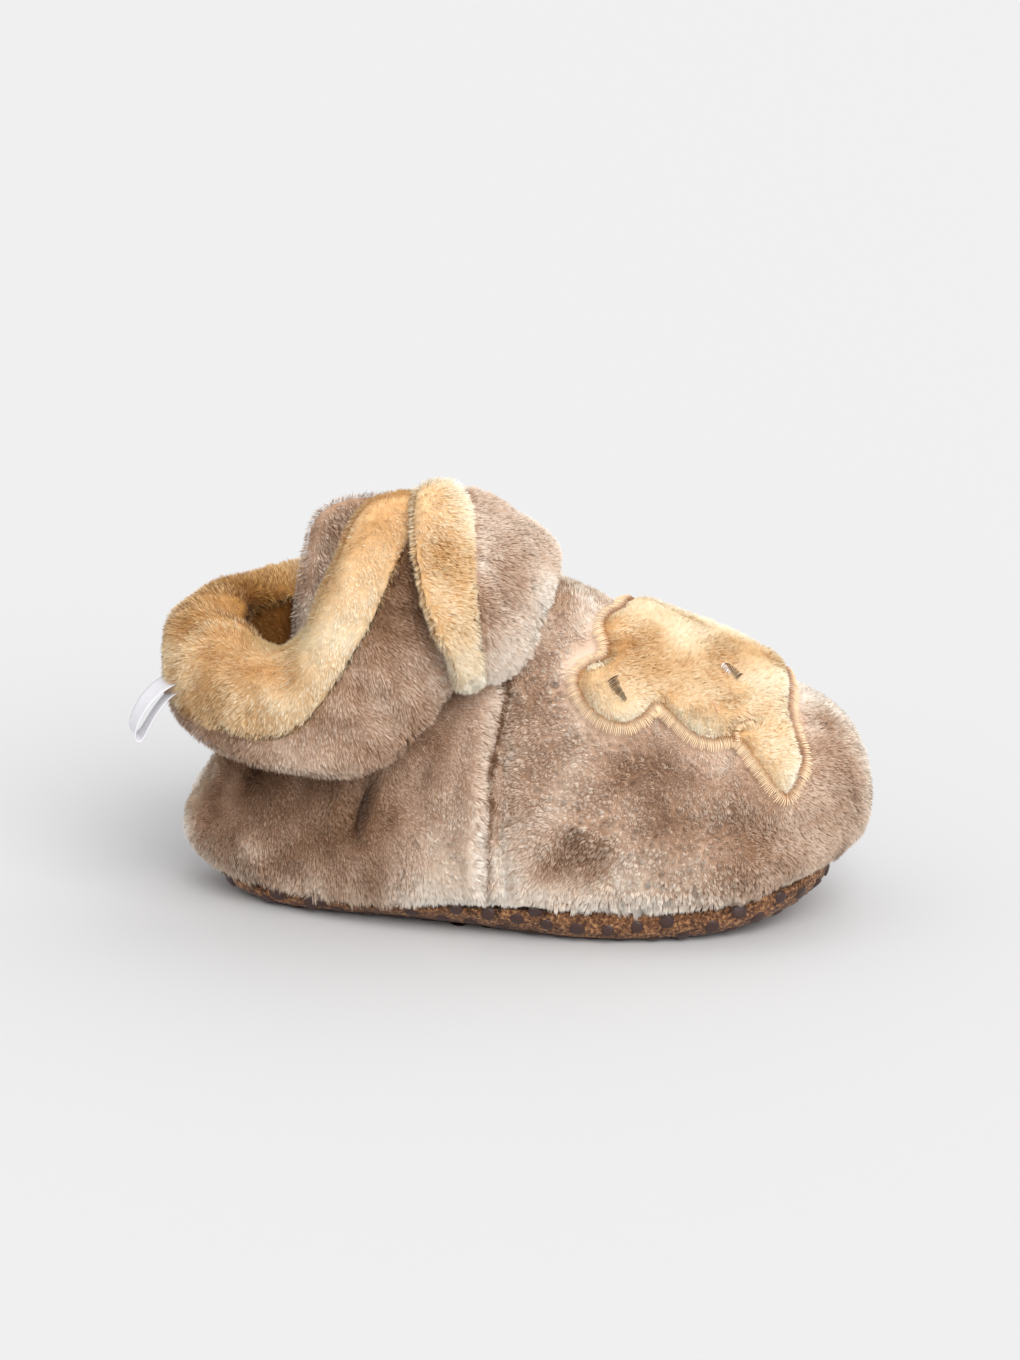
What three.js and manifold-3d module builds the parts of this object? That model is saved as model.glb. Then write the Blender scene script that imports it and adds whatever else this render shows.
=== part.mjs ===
// A plush baby bootie for the right foot, standing empty on its sole.
// Millimetres, +Z up, toe towards +X, outer (lateral) side towards -Y.
// The origin is on the flat underside of the sole, halfway along the foot.
import * as THREE from "three";
import { mergeVertices } from "three/addons/utils/BufferGeometryUtils.js";
import Module from "manifold-3d";

const wasm = await Module();
wasm.setup();

// Driving sizes of the foot
const footLength = 125; // heel to toe over the pile
const ballWidth = 62; // across the ball over the pile
const heelShare = 0.84; // heel width as a share of the ball width
const ankleWidth = 39; // across the elastic gather
const toeSwing = 2.5; // how far the toe swings to the inner side
const heelRise = 26; // gather above the sole edge, at the back
const instepRise = 58.5; // gather above the sole edge, at the front
const plushWall = 3; // pile, backing and lining together

// Driving sizes of the sole
const soleThickness = 2.5;
const soleCurl = 6.6; // how far the sole edge turns up along the forefoot
const heelCurl = 4; // and round the heel
const soleWaist = 0.19; // how far the sole's underside draws in at the waist, as a share of its half width
const toeSpring = 5.8;
const heelSpring = 1;
const toeSpringStart = 0.73; // share of the foot length
const heelSpringEnd = 0.16; // share of the foot length
const insoleThickness = 3;

// Driving sizes of the collar
const collarHeight = 82; // top of the collar at its front, from the floor
const cuffReach = 11; // how far the turned-down cuff stands out of the shaft at the back
const cuffWall = 5; // folded plush, two layers
const rimDepth = 4.5; // how far the shaft ends below the top of the rim
const rimLip = 1.6; // how far the rim rolls inward of the shaft's wall
const flapThickness = 5;
const tongueThickness = 4.2;

// Ribbon loop at the back of the collar
const loopWidth = 7;
const loopThickness = 0.7;
const loopLength = 12.4;
const loopAngle = 200; // degrees round from the toe over the inner side
const loopRise = 4.5; // above the seam of the cuff

// Patch on the vamp
const patchThickness = 1.3;

const gap = 0.3; // between pieces that touch
const around = 48; // points around a ring

// Rings of the upper from the sole edge to the gather. rear and front are shares of the foot length,
// rearLift and frontLift shares of heelRise and instepRise, girth runs from the ankle's half width
// at 0 to the ball's at 1, foot says how far the heel is narrower, and rise bends the ring's side view.
const upperRings = [
  { rear: 0.052, front: 0.952, rearLift: 0, frontLift: 0, girth: 0.75, foot: 1, rise: 3 },
  { rear: 0.024, front: 0.98, rearLift: 0.06, frontLift: 0.022, girth: 0.89, foot: 1, rise: 3 },
  { rear: 0.007, front: 0.996, rearLift: 0.16, frontLift: 0.068, girth: 0.98, foot: 1, rise: 3 },
  { rear: 0, front: 1, rearLift: 0.28, frontLift: 0.14, girth: 1, foot: 1, rise: 2.8 },
  { rear: 0.006, front: 0.996, rearLift: 0.41, frontLift: 0.25, girth: 0.96, foot: 0.95, rise: 2.6 },
  { rear: 0.016, front: 0.978, rearLift: 0.52, frontLift: 0.365, girth: 0.885, foot: 0.9, rise: 2.4 },
  { rear: 0.028, front: 0.944, rearLift: 0.62, frontLift: 0.458, girth: 0.79, foot: 0.8, rise: 2.3 },
  { rear: 0.04, front: 0.895, rearLift: 0.715, frontLift: 0.556, girth: 0.68, foot: 0.7, rise: 2.2 },
  { rear: 0.051, front: 0.834, rearLift: 0.79, frontLift: 0.656, girth: 0.55, foot: 0.6, rise: 2.2 },
  { rear: 0.061, front: 0.762, rearLift: 0.86, frontLift: 0.745, girth: 0.42, foot: 0.45, rise: 2.2 },
  { rear: 0.069, front: 0.688, rearLift: 0.915, frontLift: 0.814, girth: 0.3, foot: 0.3, rise: 2.2 },
  { rear: 0.076, front: 0.614, rearLift: 0.955, frontLift: 0.885, girth: 0.19, foot: 0.15, rise: 2.2 },
  { rear: 0.081, front: 0.548, rearLift: 0.98, frontLift: 0.95, girth: 0.09, foot: 0.05, rise: 2.2 },
  { rear: 0.084, front: 0.49, rearLift: 1, frontLift: 1, girth: 0, foot: 0, rise: 2.2 },
];
const ringsDrawn = 15; // rings lofted through the table
const shaftRings = 5; // rings from the gather to the rim

// Outline of the shaft at a height, which is a share of collarHeight. rear and front are shares of
// the foot length, half is a share of the ball's half width.
const shaftOutline = [
  { height: 0.34, rear: 0.084, front: 0.49, half: 0.63 },
  { height: 0.49, rear: 0.062, front: 0.488, half: 0.7 },
  { height: 0.61, rear: 0.052, front: 0.484, half: 0.75 },
  { height: 0.756, rear: 0.05, front: 0.476, half: 0.76 },
  { height: 0.854, rear: 0.062, front: 0.452, half: 0.735 },
  { height: 0.951, rear: 0.082, front: 0.424, half: 0.69 },
  { height: 1.03, rear: 0.1, front: 0.4, half: 0.64 },
];

// Cuff by angle: 0 is the front, 90 the inner side, 180 the back and 270 the outer side.
// hem, seam and rim are shares of collarHeight, reach is a share of cuffReach.
const cuffStations = [
  { angle: 0, hem: 0.755, seam: 0.83, rim: 0.86, reach: 0.2 },
  { angle: 30, hem: 0.71, seam: 0.81, rim: 0.85, reach: 0.28 },
  { angle: 60, hem: 0.6, seam: 0.75, rim: 0.82, reach: 0.5 },
  { angle: 90, hem: 0.46, seam: 0.64, rim: 0.74, reach: 0.75 },
  { angle: 120, hem: 0.4, seam: 0.53, rim: 0.68, reach: 0.95 },
  { angle: 150, hem: 0.395, seam: 0.475, rim: 0.665, reach: 1 },
  { angle: 180, hem: 0.385, seam: 0.46, rim: 0.66, reach: 1 },
  { angle: 210, hem: 0.375, seam: 0.45, rim: 0.63, reach: 1.03 },
  { angle: 235, hem: 0.362, seam: 0.445, rim: 0.615, reach: 1.06 },
  { angle: 248, hem: 0.36, seam: 0.46, rim: 0.64, reach: 1.06 },
  { angle: 257, hem: 0.355, seam: 0.5, rim: 0.71, reach: 1.04 },
  { angle: 266, hem: 0.36, seam: 0.59, rim: 0.86, reach: 1 },
  { angle: 276, hem: 0.38, seam: 0.71, rim: 0.94, reach: 0.9 },
  { angle: 290, hem: 0.455, seam: 0.87, rim: 0.965, reach: 0.7 },
  { angle: 310, hem: 0.59, seam: 0.91, rim: 0.96, reach: 0.48 },
  { angle: 335, hem: 0.7, seam: 0.86, rim: 0.9, reach: 0.28 },
];

// Outer curve of the cuff and its rim: out is a share of the reach, height runs from hem to rim.
const cuffCurve = [
  { height: 0, out: 0.78 },
  { height: 0.07, out: 0.95 },
  { height: 0.22, out: 1.02 },
  { height: 0.45, out: 1 },
  { height: 0.65, out: 0.95 },
  { height: 0.82, out: 0.82 },
  { height: 0.94, out: 0.6 },
  { height: 1, out: 0.32 },
];

// Front flap by angle: negative is the outer side. hem and top are shares of collarHeight.
const flapStations = [
  { angle: -85, hem: 0.56, top: 0.975 },
  { angle: -60, hem: 0.56, top: 0.985 },
  { angle: -42, hem: 0.55, top: 0.98 },
  { angle: -25, hem: 0.57, top: 0.952 },
  { angle: 0, hem: 0.72, top: 0.885 },
  { angle: 20, hem: 0.71, top: 0.85 },
  { angle: 45, hem: 0.64, top: 0.835 },
  { angle: 75, hem: 0.53, top: 0.79 },
];
const flapStart = 74; // angle of its sewn end on the inner side
const flapTaper = 40; // degrees over which it thickens from there

// Free end of the flap on the outer side, by height share: where its tan edge ends and where the
// seam between the edge and the taupe flap runs, as angles.
const flapEnd = [
  { height: 0, end: -57, seam: -49.5 },
  { height: 0.12, end: -61, seam: -51 },
  { height: 0.35, end: -67, seam: -55 },
  { height: 0.6, end: -70, seam: -53 },
  { height: 0.85, end: -67, seam: -45 },
  { height: 1, end: -57, seam: -37 },
];

// Tongue by angle: foot and top are shares of collarHeight.
const tongueStations = [
  { angle: -70, foot: 0.6, top: 0.815 },
  { angle: -30, foot: 0.74, top: 0.845 },
  { angle: 0, foot: 0.79, top: 0.86 },
  { angle: 30, foot: 0.74, top: 0.87 },
  { angle: 60, foot: 0.65, top: 0.87 },
  { angle: 90, foot: 0.56, top: 0.862 },
  { angle: 115, foot: 0.52, top: 0.845 },
  { angle: 132, foot: 0.5, top: 0.79 },
];
const tongueOuterEdge = -62; // angle of its edge on the outer side
const tongueEdgeLow = 139; // angle of its edge on the inner side, at its foot
const tongueEdgeHigh = 124; // and at its top

const radians = THREE.MathUtils.degToRad;
const smoothstep = THREE.MathUtils.smoothstep;
const mix = THREE.MathUtils.lerp;
const ankleHalf = ankleWidth / 2;
const ballHalf = ballWidth / 2;

// A share of the foot length, counted from the heel, as an x.
const along = (share) => (share - 0.5) * footLength;

// Reads a table at a value of its key column, with a smooth curve through its rows. A period makes
// the table go round.
function read(table, key, at, period) {
  const n = table.length;
  const first = table[0][key];
  const value = period ? ((((at - first) % period) + period) % period) + first : at;
  let i = table.findLastIndex((row) => row[key] <= value);
  i = period ? i : THREE.MathUtils.clamp(i, 0, n - 2);
  const row = (k) => {
    if (!period) return table[THREE.MathUtils.clamp(k, 0, n - 1)];
    const turns = Math.floor(k / n);
    const found = table[k - turns * n];
    return { ...found, [key]: found[key] + turns * period };
  };
  const [p0, p1, p2, p3] = [row(i - 1), row(i), row(i + 1), row(i + 2)];
  const t = THREE.MathUtils.clamp((value - p1[key]) / (p2[key] - p1[key]), 0, 1);
  const span = p2[key] - p1[key];
  const slope = (a, b, column) => (b[key] === a[key] ? 0 : (b[column] - a[column]) / (b[key] - a[key]));
  const out = {};
  for (const column of Object.keys(p1)) {
    if (column === key) continue;
    const m1 = slope(p0, p2, column) * span;
    const m2 = slope(p1, p3, column) * span;
    out[column] =
      (2 * t ** 3 - 3 * t ** 2 + 1) * p1[column] +
      (t ** 3 - 2 * t ** 2 + t) * m1 +
      (3 * t ** 2 - 2 * t ** 3) * p2[column] +
      (t ** 3 - t ** 2) * m2;
  }
  return out;
}

// Makes a geometry from a grid of points, rows of equal length whose columns close on themselves.
// ends says how the rows end: "join" (last row to first), "cap" (flat) or "pole" (one point each).
function gridGeometry(rows, ends) {
  const columns = Math.max(...rows.map((row) => row.length));
  const points = [];
  const starts = rows.map((row) => {
    const start = points.length;
    points.push(...row);
    return { start, size: row.length };
  });
  const index = [];
  const at = (row, column) => row.start + (row.size === 1 ? 0 : column % columns);
  const band = (a, b) => {
    for (let j = 0; j < columns; j++) {
      if (a.size > 1) index.push(at(a, j), at(a, j + 1), at(b, j + 1));
      if (b.size > 1) index.push(at(a, j), at(b, j + 1), at(b, j));
    }
  };
  for (let i = 0; i + 1 < starts.length; i++) band(starts[i], starts[i + 1]);
  if (ends === "join") band(starts.at(-1), starts[0]);
  if (ends === "cap") {
    for (const [row, turned] of [[starts[0], true], [starts.at(-1), false]]) {
      const middle = points.length;
      const sum = rows[turned ? 0 : rows.length - 1].reduce((s, p) => s.add(p), new THREE.Vector3());
      points.push(sum.divideScalar(columns));
      for (let j = 0; j < columns; j++) {
        if (turned) index.push(middle, at(row, j + 1), at(row, j));
        else index.push(middle, at(row, j), at(row, j + 1));
      }
    }
  }
  return facingOut(points, index);
}

// Turns the faces round if the closed surface is inside out.
function facingOut(points, index) {
  let volume = 0;
  for (let i = 0; i < index.length; i += 3) {
    const [a, b, c] = [points[index[i]], points[index[i + 1]], points[index[i + 2]]];
    volume += a.dot(b.clone().cross(c));
  }
  if (volume < 0) {
    for (let i = 0; i < index.length; i += 3) [index[i + 1], index[i + 2]] = [index[i + 2], index[i + 1]];
  }
  const geometry = new THREE.BufferGeometry().setFromPoints(points);
  geometry.setIndex(index);
  geometry.computeVertexNormals();
  return geometry;
}

function toSolid(geometry) {
  const bare = geometry.clone();
  bare.deleteAttribute("normal");
  bare.deleteAttribute("uv");
  const merged = mergeVertices(bare, 1e-4);
  return new wasm.Manifold(
    new wasm.Mesh({
      numProp: 3,
      vertProperties: merged.attributes.position.array,
      triVerts: new Uint32Array(merged.index.array),
    }),
  );
}

function fromSolid(solid) {
  const mesh = solid.getMesh();
  const geometry = new THREE.BufferGeometry();
  geometry.setAttribute("position", new THREE.BufferAttribute(mesh.vertProperties, 3));
  geometry.setIndex(new THREE.BufferAttribute(mesh.triVerts, 1));
  geometry.computeVertexNormals();
  return geometry;
}

// Height of the sole's underside at x: flat in the middle, sprung at heel and toe.
function rocker(x) {
  const toe = Math.max(0, (Math.min(x, along(0.952)) - along(toeSpringStart)) / (along(0.952) - along(toeSpringStart)));
  const heel = Math.max(0, (along(heelSpringEnd) - Math.max(x, along(0.052))) / (along(heelSpringEnd) - along(0.052)));
  return toeSpring * toe ** 2 + heelSpring * heel ** 2;
}

const curl = (x) => mix(heelCurl, soleCurl, smoothstep(x, along(0.2), along(0.55)));
const soleEdge = (x) => rocker(x) + curl(x);

// A point of the upper's outside. ring runs from 0 at the sole edge to 1 at the gather, turn goes
// round from the toe over the inner side.
function upperPoint(ring, turn) {
  const table = upperRings.map((row, i) => ({ ...row, at: i / (upperRings.length - 1) }));
  const r = read(table, "at", ring);
  const [c, s] = [Math.cos(turn), Math.sin(turn)];
  const share = (1 + c) / 2 + 0.045 * s * s * r.foot;
  const x = mix(along(r.rear), along(r.front), share);
  const narrow = 1 - r.foot * (1 - heelShare) * (1 - smoothstep(share, 0.12, 0.62));
  const half = mix(ankleHalf, ballHalf, r.girth) * narrow;
  const swing = toeSwing * smoothstep(x, along(0.35), along(1));
  const y = half * Math.sign(s) * Math.abs(s) ** 0.8 + swing;
  const lift = mix(r.rearLift * heelRise, r.frontLift * instepRise, share ** r.rise);
  const spared = 1 - (curl(x) - heelCurl) / instepRise; // a higher sole edge leaves the instep where it is
  return new THREE.Vector3(x, y, soleEdge(x) + lift * spared);
}

// A point of the shaft's outside at a height, moved outward by out.
function shaftPoint(turn, z, out = 0) {
  const o = read(shaftOutline, "height", THREE.MathUtils.clamp(z / collarHeight, 0.34, 1.03));
  const reach = (along(o.front) - along(o.rear)) / 2;
  const half = o.half * ballHalf;
  const [c, s] = [Math.cos(turn), Math.sin(turn)];
  const normal = new THREE.Vector2(half * c, reach * s).normalize();
  const middle = (along(o.front) + along(o.rear)) / 2;
  return new THREE.Vector3(middle + reach * c + normal.x * out, half * s + normal.y * out, z);
}

const cuffAt = (turn) => read(cuffStations, "angle", THREE.MathUtils.radToDeg(turn), 360);

// How far the cuff stands out of the shaft at a height share between its hem and its rim.
function cuffOut(turn, height) {
  const c = read(cuffCurve, "height", THREE.MathUtils.clamp(height, 0, 1));
  return cuffAt(turn).reach * cuffReach * c.out;
}

// Outer surface of the upper and shaft as rings, ring by ring upward. grow raises the last ring.
function upperRows(grow = 0) {
  const rows = [];
  const turns = Array.from({ length: around }, (_, j) => (j / around) * 2 * Math.PI);
  for (let i = 0; i <= ringsDrawn; i++) rows.push(turns.map((t) => upperPoint(i / ringsDrawn, t)));
  for (let i = 1; i <= shaftRings; i++) {
    const share = i / shaftRings;
    rows.push(
      turns.map((t) => {
        const gather = upperPoint(1, t);
        const top = cuffAt(t).rim * collarHeight - rimDepth;
        const z = mix(gather.z, top, share);
        const point = shaftPoint(t, z);
        const blend = smoothstep(share, 0, 0.6);
        const raise = i === shaftRings ? grow : 0;
        return new THREE.Vector3(mix(gather.x, point.x, blend), mix(gather.y, point.y, blend), z + raise);
      }),
    );
  }
  return rows;
}

// The same rings moved along the surface's own normals, with the first and last kept level.
function offsetRows(rows, distance) {
  const n = rows[0].length;
  return rows.map((row, i) =>
    row.map((p, j) => {
      const alongRing = row[(j + 1) % n].clone().sub(row[(j + n - 1) % n]);
      const upward = rows[Math.min(i + 1, rows.length - 1)][j].clone().sub(rows[Math.max(i - 1, 0)][j]);
      const normal = alongRing.cross(upward).normalize();
      if (i === 0 || i === rows.length - 1) normal.setZ(0).normalize();
      return p.clone().addScaledVector(normal, distance);
    }),
  );
}

// The upper's hollow wall, grown on every side but the bottom.
function upperWall(grow = 0) {
  const rows = upperRows(grow);
  const outer = offsetRows(rows, grow);
  const inner = offsetRows(rows, -plushWall - grow);
  return gridGeometry([...outer, ...inner.reverse()], "join");
}

// What is left of a piece beside others, without crumbs.
function cut(geometry, ...others) {
  let solid = toSolid(geometry);
  for (const other of others) solid = solid.subtract(toSolid(other));
  const bodies = solid.decompose().sort((a, b) => b.volume() - a.volume());
  return fromSolid(bodies[0]);
}

// How much of the waist there is at x: none at heel and ball.
const waist = (x) => smoothstep(x, along(0.14), along(0.34)) * (1 - smoothstep(x, along(0.4), along(0.66)));

// A loop that is a share of the sole's outline, with its own height rule. drawn says how much of the
// waist it takes.
function soleLoop(share, height, drawn = 0) {
  const centre = new THREE.Vector2(along(0.5), 0);
  return Array.from({ length: around }, (_, j) => {
    const edge = upperPoint(0, (j / around) * 2 * Math.PI);
    const x = mix(centre.x, edge.x, share);
    const y = mix(centre.y, edge.y, share) * (1 - soleWaist * waist(x) * drawn);
    return new THREE.Vector3(x, y, height(x, y));
  });
}

function makeOutsole() {
  const rim = 1 - plushWall / ballHalf;
  const under = (x) => rocker(x);
  const inside = (x) => rocker(x) + soleThickness;
  const edgeTop = (x) => soleEdge(x) - gap;
  const rows = [
    [new THREE.Vector3(along(0.5), 0, under(along(0.5)))],
    soleLoop(0.4, under),
    soleLoop(0.7, under),
    soleLoop(0.86, under, 0.9),
    soleLoop(0.94, (x) => under(x) + curl(x) * 0.1, 1),
    soleLoop(0.985, (x) => under(x) + curl(x) * 0.36, 0.55),
    soleLoop(1, (x) => under(x) + curl(x) * 0.7, 0.15),
    soleLoop(1, edgeTop),
    soleLoop(rim, edgeTop),
    soleLoop(rim - 0.02, inside),
    soleLoop(0.7, inside),
    soleLoop(0.4, inside),
    [new THREE.Vector3(along(0.5), 0, inside(along(0.5)))],
  ];
  return gridGeometry(rows, "pole");
}

function makeInsole() {
  const edge = 1 - (plushWall + 2) / ballHalf;
  const under = (x) => rocker(x) + soleThickness + gap;
  const top = (x) => under(x) + insoleThickness;
  const rows = [
    [new THREE.Vector3(along(0.5), 0, under(along(0.5)))],
    soleLoop(edge * 0.5, under),
    soleLoop(edge * 0.9, under),
    soleLoop(edge * 0.97, (x) => under(x) + insoleThickness * 0.3),
    soleLoop(edge * 0.97, (x) => under(x) + insoleThickness * 0.75),
    soleLoop(edge * 0.9, top),
    soleLoop(edge * 0.5, top),
    [new THREE.Vector3(along(0.5), 0, top(along(0.5)))],
  ];
  return gridGeometry(rows, "pole");
}

// A closed ring around the shaft, from its section at each share of the turn.
function bandGeometry(section, steps) {
  return gridGeometry(Array.from({ length: steps }, (_, i) => section(i / steps)), "join");
}

// An arc of a ring with two flat ends, from its section at each share of the arc.
function arcGeometry(section, steps) {
  return gridGeometry(Array.from({ length: steps }, (_, i) => section(i / (steps - 1))), "cap");
}

// The outer line of the cuff between two height shares.
function cuffLine(turn, low, high, steps) {
  const c = cuffAt(turn);
  return Array.from({ length: steps }, (_, k) => {
    const height = mix(low, high, k / (steps - 1));
    const z = mix(c.hem, c.rim, height) * collarHeight;
    return shaftPoint(turn, z, cuffOut(turn, height));
  });
}

const seamShare = (c) => (c.seam - c.hem) / (c.rim - c.hem);

// How much height the gap takes at the seam, which is more where the seam climbs.
function seamGap(turn) {
  const step = 0.05;
  const point = (t) => shaftPoint(t, cuffAt(t).seam * collarHeight, cuffReach);
  const [a, b] = [point(turn - step), point(turn + step)];
  return (gap * a.distanceTo(b)) / Math.hypot(b.x - a.x, b.y - a.y);
}

// Closed section of the collar at an angle: outer line from low to high, then inward points.
const cuffInner = (turn, height) => Math.max(gap, cuffOut(turn, height) - cuffWall);

function makeCuff() {
  const band = bandGeometry((share) => {
    const turn = share * 2 * Math.PI;
    const c = cuffAt(turn);
    const top = seamShare(c) - seamGap(turn) / ((c.rim - c.hem) * collarHeight);
    const inner = [0.04, 0.35, 0.7, 1].map((k) => {
      const z = mix(c.hem, c.rim, k * top) * collarHeight;
      return shaftPoint(turn, z, cuffInner(turn, k * top));
    });
    return [...cuffLine(turn, 0, top, 6), ...inner.reverse()];
  }, around);
  return cut(band, upperWall(gap));
}

function makeCuffTrim() {
  const band = bandGeometry((share) => {
    const turn = share * 2 * Math.PI;
    const c = cuffAt(turn);
    const rim = c.rim * collarHeight;
    const seam = c.seam * collarHeight;
    return [
      ...cuffLine(turn, seamShare(c), 1, 5),
      shaftPoint(turn, rim - 0.5, -plushWall * 0.5),
      shaftPoint(turn, rim - 2.2, -plushWall - rimLip),
      shaftPoint(turn, rim - rimDepth - 1, -plushWall - rimLip * 0.8),
      shaftPoint(turn, Math.max(rim - rimDepth - 1, seam + gap), cuffInner(turn, seamShare(c))),
      shaftPoint(turn, seam, cuffInner(turn, seamShare(c))),
    ];
  }, around);
  return cut(band, upperWall(gap));
}

// The whole collar as one plain ring, grown outward, for cutting what lies on it.
function collarRing(grow) {
  return bandGeometry((share) => {
    const turn = share * 2 * Math.PI;
    const c = cuffAt(turn);
    const line = cuffCurve.map(({ height }) => {
      const z = mix(c.hem, c.rim, height) * collarHeight;
      const raise = (2 * height - 1) * grow;
      return shaftPoint(turn, z, cuffOut(turn, height) + grow).add(new THREE.Vector3(0, 0, raise));
    });
    const within = -plushWall - rimLip - grow;
    return [
      ...line,
      shaftPoint(turn, c.rim * collarHeight - 0.5 + grow, -plushWall * 0.5),
      shaftPoint(turn, c.rim * collarHeight - 2.2 + grow, within),
      shaftPoint(turn, c.hem * collarHeight - grow, within),
    ];
  }, around);
}

// How far the cuff's outside stands out of the shaft at a height in millimetres.
function cuffOutAtHeight(turn, z) {
  const c = cuffAt(turn);
  return cuffOut(turn, (z / collarHeight - c.hem) / (c.rim - c.hem));
}

// Section of the front flap from its hem round its outside to its top and back down its inside.
// angleAt gives the angle for a height share, so that an end can slant.
const flapOutline = [
  { height: 0, out: 0.05 },
  { height: 0.02, out: 0.6 },
  { height: 0.12, out: 1.05 },
  { height: 0.3, out: 1.2 },
  { height: 0.5, out: 1.08 },
  { height: 0.7, out: 0.85 },
  { height: 0.88, out: 0.6 },
  { height: 0.98, out: 0.35 },
  { height: 1, out: 0.05 },
  { height: 0.8, out: -0.15 },
  { height: 0.5, out: -0.15 },
  { height: 0.2, out: -0.15 },
];

function flapSection(angleAt) {
  return flapOutline.map(({ height, out }) => {
    const angle = angleAt(height);
    const turn = radians(angle);
    const f = read(flapStations, "angle", angle);
    const z = mix(f.hem, f.top, height) * collarHeight;
    const fullness = mix(0.4, 1, smoothstep(flapStart - angle, 0, flapTaper));
    return shaftPoint(turn, z, cuffOutAtHeight(turn, z) + gap + out * flapThickness * fullness);
  });
}

const flapEndAt = (height) => read(flapEnd, "height", height);

function makeFrontFlap() {
  const seamGap = 1.3; // degrees
  const arc = arcGeometry(
    (share) => flapSection((height) => mix(flapStart, flapEndAt(height).seam + seamGap, share)),
    22,
  );
  return cut(arc, collarRing(gap), upperWall(gap));
}

function makeFlapTrim() {
  const arc = arcGeometry(
    (share) => flapSection((height) => mix(flapEndAt(height).seam, flapEndAt(height).end, share)),
    6,
  );
  return cut(arc, collarRing(gap), upperWall(gap));
}

// Section of the tongue, inward from the shaft's lining: at its foot it lies on the lining and
// above that it clears the rim.
const tongueOutline = [
  { height: 0, inward: 0.15 },
  { height: 0.03, inward: 0 },
  { height: 0.3, inward: 0 },
  { height: 0.6, inward: 0 },
  { height: 0.9, inward: 0 },
  { height: 0.98, inward: 0.2 },
  { height: 1, inward: 0.5 },
  { height: 0.98, inward: 0.8 },
  { height: 0.9, inward: 1 },
  { height: 0.6, inward: 1.1 },
  { height: 0.3, inward: 1.1 },
  { height: 0.03, inward: 1 },
];

function makeTongue() {
  const arc = arcGeometry((share) => {
    return tongueOutline.map(({ height, inward }) => {
      const edge = mix(tongueEdgeLow, tongueEdgeHigh, height);
      const angle = mix(tongueOuterEdge, edge, share);
      const t = read(tongueStations, "angle", angle);
      const z = mix(t.foot, t.top, height) * collarHeight;
      const clear = plushWall + gap + rimLip * smoothstep(height, 0.05, 0.4);
      return shaftPoint(radians(angle), z, -clear - inward * tongueThickness);
    });
  }, 21);
  return cut(arc, collarRing(gap), upperWall(gap));
}

// Edge of the vamp patch seen from above. length is a share of the foot length from the heel,
// across a share of the ball's half width, negative on the outer side.
const patchEdge = [
  { length: 0.63, across: -0.08 },
  { length: 0.622, across: -0.26 },
  { length: 0.608, across: -0.37 },
  { length: 0.578, across: -0.45 },
  { length: 0.56, across: -0.55 },
  { length: 0.572, across: -0.63 },
  { length: 0.604, across: -0.68 },
  { length: 0.643, across: -0.69 },
  { length: 0.671, across: -0.635 },
  { length: 0.69, across: -0.575 },
  { length: 0.71, across: -0.59 },
  { length: 0.74, across: -0.632 },
  { length: 0.772, across: -0.618 },
  { length: 0.805, across: -0.568 },
  { length: 0.833, across: -0.605 },
  { length: 0.86, across: -0.648 },
  { length: 0.882, across: -0.6 },
  { length: 0.899, across: -0.46 },
  { length: 0.902, across: -0.3 },
  { length: 0.894, across: -0.1 },
  { length: 0.888, across: 0.12 },
  { length: 0.87, across: 0.3 },
  { length: 0.83, across: 0.44 },
  { length: 0.78, across: 0.52 },
  { length: 0.72, across: 0.53 },
  { length: 0.67, across: 0.46 },
  { length: 0.637, across: 0.32 },
  { length: 0.628, across: 0.12 },
];

function makePatch() {
  const rows = upperRows().slice(0, ringsDrawn + 1);
  const skin = (distance) => toSolid(gridGeometry(offsetRows(rows, distance), "cap"));
  const outline = patchEdge.map((p) => [along(p.length), p.across * ballHalf]);
  const prism = wasm.Manifold.extrude([outline], collarHeight);
  const patch = skin(gap + patchThickness).subtract(skin(gap)).intersect(prism);
  const bodies = patch.decompose().sort((a, b) => b.volume() - a.volume());
  return fromSolid(bodies[0]);
}

// Path of the ribbon loop: out and down are shares of loopLength from its sewn end.
const loopPath = [
  { out: 0, down: 0 },
  { out: 0.2, down: 0.08 },
  { out: 0.42, down: 0.26 },
  { out: 0.6, down: 0.48 },
  { out: 0.7, down: 0.7 },
  { out: 0.7, down: 0.84 },
  { out: 0.62, down: 0.87 },
  { out: 0.54, down: 0.78 },
  { out: 0.4, down: 0.54 },
  { out: 0.22, down: 0.32 },
  { out: 0.05, down: 0.17 },
];

function makeLoop() {
  const turn = radians(loopAngle);
  const c = cuffAt(turn);
  const root = shaftPoint(turn, c.seam * collarHeight + loopRise, cuffOut(turn, seamShare(c)) - 0.5);
  const out = shaftPoint(turn, root.z, 1).sub(shaftPoint(turn, root.z)).normalize();
  const side = new THREE.Vector3(-out.y, out.x, 0);
  const path = loopPath.map((p) =>
    root.clone().addScaledVector(out, p.out * loopLength).add(new THREE.Vector3(0, 0, -p.down * loopLength)),
  );
  const rows = path.map((p, i) => {
    const ahead = path[Math.min(i + 1, path.length - 1)].clone().sub(path[Math.max(i - 1, 0)]).normalize();
    const normal = ahead.clone().cross(side).normalize();
    const corner = (w, n) =>
      p.clone().addScaledVector(side, w * loopWidth * 0.5).addScaledVector(normal, n * loopThickness * 0.5);
    return [corner(-1, -1), corner(1, -1), corner(1, 1), corner(-1, 1)];
  });
  return cut(gridGeometry(rows, "cap"), collarRing(gap), upperWall(gap));
}

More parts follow.
